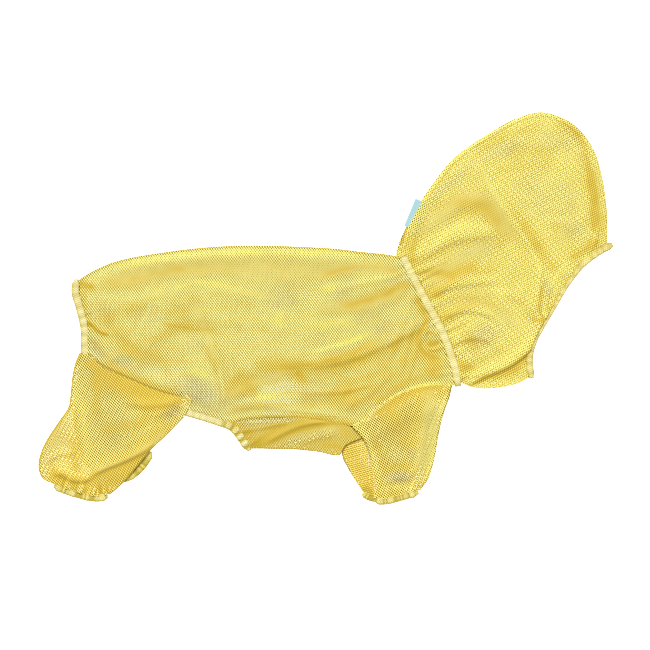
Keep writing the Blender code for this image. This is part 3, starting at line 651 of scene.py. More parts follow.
# body panel: one cloth folded over the back
bodyLook = {
    "columns": 230,
    "nearRows": 104,
    "turnRows": 5,
    "farRows": 56,
    "hem": [(0.00, 5.85), (0.25, 5.85), (0.34, 3.5), (0.42, 2.6), (0.60, 2.6), (0.68, 3.3),
            (0.72, 5.0), (0.745, 6.7), (1.00, 6.7)],
    # painted shadow seen through the net, in soft spots
    "shadowPatchSpots": [
        ((-138.1, -94.1), 30, 17, -36, 1.0), ((-252.5, -42.4), 7, 15, 25, 1.0),
        ((-245.9, -5), 14, 9, 20, 0.5), ((-192, -52.3), 22, 13, 40, 0.55),
        ((-222.8, -56.7), 12, 6, 0, 0.6), ((-44.6, 7.2), 18, 6, 0, 0.45),
        ((-12.7, -89.7), 16, 12, 0, 0.4), ((19.2, 22.6), 16, 12, 80, 0.4),
        ((-148, -40.2), 14, 8, 0, 0.4), ((61.1, -21.5), 12, 8, 30, 0.4),
        ((-51.2, 13.8), 26, 12, 20, 0.35), ((3.9, -45.7), 22, 12, -30, 0.30),
        ((-194.2, -10.5), 18, 10, 0, 0.30), ((-29.2, -100.7), 16, 9, 10, 0.35),
        ((-254.7, 3.9), 8, 16, 0, 0.35), ((50.1, -3.9), 26, 9, 20, 0.30),
        ((-225, -58.9), 20, 9, -25, 0.35), ((-95.2, -100.7), 18, 12, 10, 0.30),
    ],
    "netTurn": 0.5,
    "farTurn": 0.5,
    "farStretch": 0.9975,
    "grain": [               # where the two layers' nets blur each other, or stand out
        shade(10, 1.0, (-266.8, 24.8), (-216.2, 34.7), (-172.2, 41.2), (-117.2, 45.7),
              (-40.2, 42.4)),
        shade(12, 0.9, (-106.2, 44.6), (-62.2, 39.1), (-29.2, 41.2), (14.9, 44.6)),
        shade(9, 0.9, (-22.6, 43.5), (25.9, 44.6), (89.7, 42.4)),
        shade(7, 1.0, (-22.6, -0.6), (25.9, 2.8), (53.4, 7.2), (96.3, 27)),
        shade(4, 0.5, (-222.8, -3.9), (-183.2, 16), (-150.2, 20.4), (-95.2, 18.2), (-51.2, 9.4),
              (-13.8, -3.9)),
        shade(4, 1.0, (-148, 16), (-135.9, -18.2), (-128.2, -36.9), (-121.6, -67.7)),
        shade(4, 0.7, (-123.8, -105.1), (-89.7, -85.2), (-60, -76.5), (-31.4, -58.9)),
        shade(10, 0.3, (-29.2, -25.9), (20.4, -21.5), (69.9, -6.1)),
        shade(3, 0.5, (-244.8, -66.6), (-199.7, -91.9), (-159, -107.3)),
        shade(3.5, 0.5, (-156.8, -105.1), (-100.7, -112.8), (-51.2, -108.4), (14.9, -116.1)),
        shade(10, -0.9, (-260.2, 27), (-252.5, -1.7), (-244.8, -29.2), (-233.8, -54.5)),
        shade(17, -0.9, (-236, -23.7), (-194.2, -45.7), (-139.2, -72.1)),
        shade(12, -0.9, (-101.8, -10.5), (-97.4, -45.7), (-112.8, -91.9)),
        shade(8, -0.9, (-55.6, -85.2), (-18.2, -89.7), (31.4, -96.3)),
        shade(13, -0.8, (9.4, -111.7), (50.1, -84.2), (67.7, -45.7), (89.7, 0.6)),
        shade(16, -0.4, (-106.2, -43.5), (-40.2, -34.7), (14.9, -40.2)),
    ],
    "neckGathers": {"count": 9, "depth": 1.1, "reach": 34, "tone": 0.30, "seed": 2},
    "seatGathers": {"count": 6, "depth": 0.8, "reach": 16, "tone": 0.35, "seed": 5},
    "waves": [(0.5, 26.0, 1), (0.25, 10.0, 5)],
    "waveTones": [(0.16, 9.0, 3), (0.14, 20.0, 6)],
    "contrast": 1.2,         # how much stronger the folds' painted shade is
    "lowest": -0.7,          # the deepest that a fold goes
    "backFoldShade": 1.1,         # painted shade on the fold over the back
    "turnTones": (1.5, -0.6),  # painted shade where the cloth turns, painted light on its far layer
    # a roll beside the hem: its height, its ridge's place and width, its painted shade at the hem
    # and painted highlight on the ridge, the painted highlight of a hem sewn flat, and where
    # along the hem it is rolled
    "roll": {"height": 1.05, "place": 2.4, "width": 1.4, "foot": 0.1, "ridge": -0.2,
             "flat": -0.9,
             "along": [(0.00, 1.0), (0.69, 1.0), (0.74, 0.12), (1.00, 0.12)]},
    # how far the far layer's net lies out of line, as a share of half a hole: everywhere,
    # where the two nets blur each other, and a slow drift
    "outOfLine": {"all": 0.74, "grain": 0.18, "drift": [(0.2, 34.0, 7)]},
    "flat": (0.410, 0.370), "area": 0.134,
    "folds": [
        fold(7, 1.1, 1.2, 0.0, (-266.8, 24.8), (-238.2, 39.1), (-194.2, 50.1), (-139.2, 56.7),
             (-73.2, 58.9), (-7.2, 55.6), (47.9, 47.9), (83.1, 35.8)),
        fold(9, 0.0, 1.0, 0.25, (-273.4, 18.2), (-248.1, 24.8), (-209.6, 32.5), (-172.2, 40.2),
             (-133.7, 44.6), (-76.5, 46.8), (-29.2, 42.4), (14.9, 35.8), (76.5, 22.6)),
        fold(5, 1.2, 0.6, 0.30, (87.5, 34.7), (56.7, 32.5), (25.9, 24.8), (-5, 13.8)),
        fold(9, 0.0, 1.0, 0.30, (94.1, 25.9), (61.1, 11.6), (30.3, 0.6), (-7.2, -8.2)),
        fold(9, 1.6, 0.45, 0.42, (-33.6, -66.6), (25.9, -54.5), (83.1, -30.3), (116.1, -10.5)),
        fold(3, 0.8, 0.6, 0.30, (100.7, 9.4), (89.7, 0.6), (80.9, -25.9), (67.7, -58.9)),
        fold(3, 0.9, 0.6, 0.32, (106.2, -1.7), (94.1, -23.7), (85.2, -52.3), (79.8, -80.9)),
        fold(3, 0.9, 0.6, 0.30, (115, -12.7), (101.8, -34.7), (94.1, -58.9), (88.6, -80.9)),
        fold(2.2, 1.0, 0.6, 0.25, (108.4, -40.2), (107.3, -30.3), (113.9, -24.8), (124.9, -31.4)),
        fold(2.2, 1.0, 0.6, 0.25, (108.4, -39.1), (115, -45.7), (127.1, -42.4), (131.5, -35.8)),
        fold(2.4, 0.0, 1.0, 0.95, (110.6, -36.9), (117.2, -39.1), (124.9, -36.9)),
        fold(8, 0.0, 1.0, 0.35, (124.9, -47.9), (118.3, -63.3), (113.9, -78.7)),
        fold(5, 1.0, 0.7, 0.32, (-115, -118.3), (-113.9, -91.9), (-118.3, -56.7),
             (-133.7, -25.9)),
        fold(12, 0.6, 0.6, 0.35, (-113.9, -69.9), (-84.2, -67.7), (-51.2, -63.3), (-16, -65.5)),
        fold(14, 0.0, 1.0, 0.30, (-110.6, -87.5), (-89.7, -85.2), (-71, -89.7)),
        fold(6, 1.5, 0.32, 0.55, (-271.2, -49), (-251.4, -57.8), (-232.7, -66.6), (-195.3, -85.2),
             (-167.8, -95.2), (-146.9, -104)),
        fold(7, 0.9, 0.7, 0.25, (-236, -53.4), (-204.1, -72.1), (-172.2, -83.1), (-141.4, -96.3),
             (-121.6, -111.7)),
        fold(3, 1.0, 0.5, 0.55, (-269, -10.5), (-258, -17.1), (-249.2, -24.8), (-236, -29.2)),
        fold(5, 1.0, 0.6, 0.35, (-267.9, -23.7), (-252.5, -36.9), (-240.4, -50.1),
             (-227.2, -63.3)),
        fold(5, 0.0, 1.0, 0.45, (-272.2, 27), (-269, 14.9), (-266.8, 0.6), (-265.7, -14.9)),
        fold(7, 1.3, 0.5, 0.25, (-115, -113.9), (-79.8, -107.3), (-33.6, -111.7), (8.2, -118.3),
             (34.7, -123.8)),
        fold(10, 0.7, 0.7, 0.25, (-194.2, -23.7), (-150.2, -10.5), (-95.2, -14.9),
             (-40.2, -23.7)),
        fold(12, 0.8, 0.8, 0.15, (-227.2, 2.8), (-183.2, 9.4), (-128.2, 13.8), (-62.2, 11.6)),
        fold(9, 0.7, 0.6, 0.20, (-238.2, -14.9), (-205.2, -41.2), (-163.4, -58.9)),
        fold(4, 0.8, 0.5, 0.2, (-29.2, -91.9), (14.9, -91.9), (58.9, -80.9)),
        fold(6, 0.9, 0.6, 0.2, (14.9, -111.7), (39.1, -98.5), (63.3, -78.7), (76.5, -63.3)),
        # painted shade and highlight on the loose cloth, back to belly
        shade(4.5, -0.75, (-264.6, 32.5), (-249.2, 40.2), (-216.2, 50.1), (-183.2, 56.7),
              (-139.2, 61.1), (-73.2, 63.3), (3.9, 62.2), (47.9, 55.6), (80.9, 44.6)),
        shade(5, 0.35, (-275.6, 27), (-254.7, 23.7), (-232.7, 25.9), (-205.2, 33.6),
              (-177.7, 41.2), (-150.2, 44.6), (-111.7, 46.8)),
        shade(3, 1.0, (-273.4, 29.2), (-266.8, 25.9), (-253.6, 22.6)),
        shade(3, -0.5, (-183.2, 9.4), (-163.4, 22.6), (-144.7, 29.2), (-122.7, 27), (-95.2, 19.2),
              (-71, 11.6), (-40.2, 6.1)),
        shade(5, -0.35, (-249.2, 11.6), (-221.7, 11.6), (-194.2, 13.8), (-170, 22.6)),
        shade(10, 0.40, (-253.6, -10.5), (-222.8, 0.6), (-192, 2.8)),
        shade(9, 0.30, (-238.2, -39.1), (-214, -47.9), (-194.2, -61.1)),
        shade(2, -0.45, (-192, 11.6), (-197.5, -3.9), (-205.2, -19.2), (-218.4, -40.2)),
        shade(10, 0.42, (-183.2, -8.2), (-163.4, -6.1), (-143.6, -6.1)),
        shade(2, 0.55, (-187.6, -13.8), (-166.7, -19.2), (-141.4, -22.6), (-115, -24.8)),
        shade(5, 0.35, (-198.6, -39.1), (-183.2, -30.3), (-161.2, -23.7), (-143.6, -28.1)),
        shade(2.6, 0.55, (-145.8, -32.5), (-133.7, -43.5), (-124.9, -58.9), (-119.4, -76.5),
              (-115, -100.7), (-112.8, -118.3)),
        shade(1.4, -0.6, (-119.4, -63.3), (-116.1, -78.7), (-112.8, -98.5), (-115, -116.1)),
        shade(6, 0.55, (-88.6, -61.1), (-64.4, -60), (-40.2, -58.9), (-16, -54.5)),
        shade(12, 0.40, (-110.6, -78.7), (-93, -89.7), (-75.4, -85.2)),
        shade(5, -0.5, (-174.4, -69.9), (-150.2, -69.9), (-126, -74.2)),
        shade(3.4, 0.55, (-262.4, -50.1), (-240.4, -61.1), (-216.2, -73.2), (-183.2, -87.5),
              (-150.2, -100.7)),
        shade(16, 0.35, (-262.4, 9.4), (-236, -23.7), (-194.2, -50.1), (-143.6, -72.1)),
        shade(1.8, 0.9, (-271.2, -11.6), (-261.2, -16), (-251.4, -24.8), (-238.2, -30.3)),
        shade(2.6, -0.6, (-90.8, -22.6), (-75.4, -28.1), (-60, -35.8), (-49, -45.7)),
        shade(5, -0.5, (-53.4, -1.7), (-51.2, -12.7), (-50.1, -25.9)),
        shade(2.2, 0.9, (-108.4, -123.8), (-73.2, -119.4), (-29.2, -119.4), (6.1, -122.7),
              (30.3, -127.1)),
        shade(1.8, -0.7, (-97.4, -115), (-64.4, -111.7), (-29.2, -112.8), (8.2, -116.1)),
        shade(2.6, 0.5, (-115, -117.2), (-95.2, -108.4), (-71, -105.1), (-33.6, -106.2)),
        shade(3.2, -0.6, (-104, -107.3), (-88.6, -100.7), (-68.8, -97.4), (-42.4, -96.3),
              (-24.8, -98.5)),
        shade(3.2, 0.6, (-11.6, 31.4), (10.5, 41.2), (36.9, 45.7), (63.3, 44.6), (87.5, 34.7)),
        shade(5.5, -0.65, (-9.4, 18.2), (12.7, 25.9), (41.2, 31.4), (76.5, 34.7)),
        shade(4.5, 0.6, (8.2, 3.9), (34.7, 7.2), (61.1, 14.9), (80.9, 23.7), (98.5, 30.3)),
        shade(6, -0.5, (-33.6, -14.9), (-11.6, -16), (12.7, -13.8), (39.1, -7.2)),
        shade(2.8, -0.8, (-24.8, -50.1), (3.9, -42.4), (28.1, -35.8), (56.7, -23.7)),
        shade(3.6, 0.8, (-77.6, -65.5), (-44.6, -64.4), (-11.6, -60), (23.7, -50.1), (52.3, -38),
              (72.1, -36.9)),
        shade(8, 0.45, (-42.4, -75.4), (-9.4, -69.9), (25.9, -58.9), (61.1, -45.7)),
        shade(4, 0.8, (-33.6, -67.7), (-28.1, -75.4), (-20.4, -80.9)),
        shade(24, 0.5, (-5, -111.7), (45.7, -80.9), (80.9, -47.9), (102.9, -3.9)),
        shade(12, 0.40, (-40.2, -102.9), (-0.6, -98.5), (39.1, -96.3)),
        shade(14, 0.45, (113.9, -78.7), (111.7, -52.3), (102.9, -23.7)),
        shade(3, 0.8, (94.1, 18.2), (104, 2.8), (109.5, -12.7), (105.1, -30.3)),
        shade(1.5, -0.5, (111.7, -14.9), (107.3, -25.9), (107.3, -41.2), (116.1, -47.9)),
        shade(1.5, 0.9, (107.3, -12.7), (102.9, -25.9), (102.9, -42.4), (113.9, -52.3),
              (129.2, -54.5)),
        shade(1.6, -0.4, (91.9, 9.4), (85.2, -8.2), (72.1, -32.5), (56.7, -52.3)),
        shade(1.6, -0.4, (96.3, -1.7), (89.7, -25.9), (80.9, -47.9), (67.7, -69.9)),
        shade(4, 0.6, (138.1, -76.5), (111.7, -75.4), (85.2, -82), (63.3, -98.5), (41.2, -116.1)),
        shade(1.2, -0.9, (142.5, -80.9), (113.9, -82), (86.4, -89.7), (61.1, -105.1),
              (36.9, -123.8)),
        shade(2.4, 1.2, (10.5, -124.9), (23.7, -127.1), (34.7, -127.1)),
    ],
}


def bodyLines():
    seat = seams["seatLine"]
    back = lineBeside(seams["backFold"], -(1.4 - levels["half"]))
    inset = 2.6              # the cloth's edge reaches into its casings
    hem = joinLines(lineBeside(linePart(seams["hindSeam"], 0.03, 0.97), -0.6),
                    lineBeside(linePart(seat, 0.735, 0.87), inset),
                    lineBeside(seams["chestSeam"], -0.4),
                    lineBeside(seams["armhole"], -0.4))
    rear = lineBeside(linePart(seat, 0.0, 0.275), inset)
    front = joinLines(lineBeside(seams["neckLine"], -inset), straightLine((141.8, -84.5)))
    back = linePinned(back, rear[0], front[0])
    hem = linePinned(hem, rear[-1], front[-1], reach=0.05, count=240)
    return back, hem, rear, front


def bodyRise(down, hem):
    flank = mix(levels["back"], levels["body"], ease(down / 0.25))
    return mix(flank, hem, ease((down - 0.6) / 0.38))


def makeBody(look):
    back, hem, rear, front = bodyLines()
    across = np.linspace(0.0, 1.0, look["columns"])
    down = np.linspace(0.0, 1.0, look["nearRows"])
    spots = patchGrid(back, hem, rear, front, across, down)
    relief, tone = foldRelief(look["folds"], spots)
    relief, tone = addGathers(relief, tone * look["contrast"],
                              (look["neckGathers"], nearestOnLine(front, spots)),
                              (look["seatGathers"], nearestOnLine(rear, spots)))
    relief = relief + looseWaves(look["waves"], spots)
    # loose random tone, and painted shade along the fold over the back
    tone = tone + looseWaves(look["waveTones"], spots) + look["backFoldShade"] * bell(down, 0.008)
    edges = ease(down / 0.07) * ease((1.0 - down) / 0.05)
    base = bodyRise(down, easedTable(look["hem"], across)[:, None])
    height = base + levels["half"] + np.maximum(edges * relief, look["lowest"])
    height = np.where(down > 0.3, np.maximum(height, levels["least"]), height)
    roll = look["roll"]
    rolled = easedTable(roll["along"], across)[:, None]
    fromHem = np.abs(nearestOnLine(hem, spots)[0])
    fromRidge = fromHem - roll["place"]
    height = height + rolled * roll["height"] * bell(fromRidge, roll["width"])
    # painted shade at the hem, painted highlight on the roll's ridge and along a flat hem
    tone = tone + rolled * (roll["foot"] * bell(fromHem, 1.0)
                            + roll["ridge"] * bell(fromRidge, 1.0))
    tone = tone + (1.0 - rolled) * roll["flat"] * bell(fromHem, 1.6)
    near = withHeight(spots, height)[:, ::-1]

    farDown = np.linspace(0.0, 1.0, look["farRows"])
    farSpots = patchGrid(back, hem, rear, front, across, farDown)
    far = withHeight(farSpots, np.full(farSpots.shape[:2], levels["floor"]))
    turn = turnedEdge(near[:, -1], far[:, 0], lineSide(back, across), look["turnRows"])
    grid = np.concatenate([near, turn, far], axis=1)
    nearCut = netMap(spots[:, ::-1], look["netTurn"])
    farCut = netMap(farSpots * look["farStretch"], look["farTurn"])
    shift = look["outOfLine"]
    outOfLine = shift["all"] + shift["grain"] * foldRelief(look["grain"], farSpots)[1]
    outOfLine = np.clip(outOfLine + looseWaves(shift["drift"], farSpots), 0.0, 1.0)
    farCut[..., 0] += 0.5 * netLook["pitch"] * outOfLine
    turnCut = mix(nearCut[:, -1:], nearCut[:, -1:] + [0.0, 3.0],
                  np.linspace(0.2, 1.0, look["turnRows"])[None, :, None])
    cut = np.concatenate([nearCut, turnCut, farCut], axis=1)
    # painted shade on the turn, painted light on the far layer
    turnTone, farTone = look["turnTones"]
    depth = np.concatenate([tone[:, ::-1], np.full(turn.shape[:2], turnTone),
                            np.full(farSpots.shape[:2], farTone)], axis=1)
    shadowPatch = onNear(softSpots(look["shadowPatchSpots"], spots)[:, ::-1], depth.shape)
    even = onNear(foldRelief(look["grain"], spots)[1][:, ::-1], depth.shape)
    return gridMesh("bodyPanel", grid, cut, depth, bodyNet, shadowPatch=shadowPatch, even=even)


bodyPanel = makeBody(bodyLook)
laid(bodyPanel, "body_panel", bodyLook["flat"])


chestLook = {
    "columns": 120,
    "nearRows": 34,
    "turnRows": 3,
    "farRows": 16,
    "lower": [(0.00, 1.0), (0.24, 1.0), (0.36, 3.6), (1.00, 3.6)],
    "upper": [(0.00, 2.2), (0.24, 2.3), (0.36, 3.9), (1.00, 3.9)],
    "netTurn": 1.5,
    "farTurn": -30.0,
    "grain": [
        shade(7, 1.0, (-86.4, -144.7), (-45.7, -135.9), (-7.2, -127.1), (28.1, -135.9)),
        shade(5, -0.6, (-108.4, -129.2), (-71, -123.8), (-29.2, -120.5)),
    ],
    "gathers": {"count": 5, "depth": 1.3, "reach": 22, "tone": 1.0, "seed": 4},
    # painted shade over the whole chest panel; turnTones: painted shade where it turns, painted
    # light on its far layer
    "tone": 0.25,
    "turnTones": (1.0, -0.5),
    "flat": (0.245, 0.066), "area": 0.0125,
    # painted shadow seen through the net, in soft spots
    "shadowPatchSpots": [((-71, -138.1), 34, 26, 10, 0.7), ((-16, -133.7), 40, 24, 0, 0.35)],
    "folds": [
        fold(4, 1.3, 0.45, 0.50, (-71, -151.2), (-49, -138.1), (-24.8, -128.2), (6.1, -123.8)),
        fold(3, 0.6, 0.6, 0.30, (-97.4, -135.9), (-71, -131.5), (-40.2, -124.9)),
        fold(4, 0.0, 1.0, 0.45, (-82, -129.2), (-40.2, -126), (3.9, -124.9)),
        fold(5, 0.8, 0.6, 0.25, (-33.6, -149.1), (-11.6, -142.5), (12.7, -138.1)),
        fold(4, 0.0, 1.0, 0.3, (6.1, -131.5), (21.5, -135.9), (28.1, -144.7)),
        shade(5, 1.5, (-88.6, -155.7), (-64.4, -143.6), (-42.4, -134.8), (-18.2, -128.2),
              (8.2, -123.8), (34.7, -127.1)),
        shade(7, -0.6, (-51.2, -149.1), (-24.8, -140.2), (-0.6, -133.7), (25.9, -131.5)),
        shade(1.6, -1.2, (-97.4, -124.9), (-71, -124.3), (-45.7, -123.2), (-27, -123.2)),
        shade(3, 0.5, (-9.4, -151.2), (8.2, -151.2), (21.5, -155.7)),
        shade(24, 0.45, (-128.2, -144.7), (-71, -140.2), (-7.2, -138.1), (58.9, -140.2)),
    ],
}


def makeChest(look):
    seam = joinLines(lineBeside(seams["chestSeam"], 0.6), seams["stripTop"])
    keel = lineBeside(seams["chestFold"], 0.6)
    casingSide = lineBeside(linePart(seams["seatLine"], 0.998, 0.86), -2.6)
    end = straightLine(keel[-1], seam[-1])
    keel = linePinned(keel, casingSide[0], end[0])
    seam = linePinned(seam, casingSide[-1], end[-1])
    across = np.linspace(0.0, 1.0, look["columns"])
    down = np.linspace(0.0, 1.0, look["nearRows"])
    spots = patchGrid(keel, seam, casingSide, end, across, down)
    relief, tone = foldRelief(look["folds"], spots)
    away, share = nearestOnLine(casingSide, spots)
    gathers, paintedShade = gatherRelief(look["gathers"], share, np.abs(away))
    ends = ease(down / 0.12) * ease((1.0 - down) / 0.12)
    upper = easedTable(look["upper"], across)[:, None]
    lower = easedTable(look["lower"], across)[:, None]
    height = (upper + levels["half"] + ends * np.maximum(relief, -0.4)
              + gathers * ease((1.0 - down) / 0.2))
    near = withHeight(spots, height)[:, ::-1]
    farDown = np.linspace(0.0, 1.0, look["farRows"])
    farSpots = patchGrid(keel, seam, casingSide, end, across, farDown)
    far = withHeight(farSpots, np.broadcast_to(lower - levels["half"], farSpots.shape[:2]))
    turn = turnedEdge(near[:, -1], far[:, 0], -lineSide(keel, across), look["turnRows"])
    grid = np.concatenate([near, turn, far], axis=1)
    nearCut = netMap(spots[:, ::-1], look["netTurn"])
    farCut = netMap(farSpots, look["farTurn"], 1.02)
    cut = np.concatenate([nearCut, np.repeat(nearCut[:, -1:], look["turnRows"], axis=1),
                          farCut], axis=1)
    turnTone, farTone = look["turnTones"]
    # painted shade of the folds, the gathers and the whole panel; painted shade on its last row
    tone = (tone + paintedShade + look["tone"])[:, ::-1]
    tone[:, -1] = turnTone
    depth = np.concatenate([tone, np.full(turn.shape[:2], turnTone),
                            np.full(farSpots.shape[:2], farTone)], axis=1)
    shadowPatch = onNear(softSpots(look["shadowPatchSpots"], spots)[:, ::-1], depth.shape)
    even = 0.3 + 0.6 * foldRelief(look["grain"], spots)[1]
    even = onNear(even[:, ::-1], depth.shape)
    return gridMesh("chestPanel", grid, cut, depth, chestNet, shadowPatch=shadowPatch, even=even)


chestPanel = makeChest(chestLook)
laid(chestPanel, "chest_panel", chestLook["flat"])


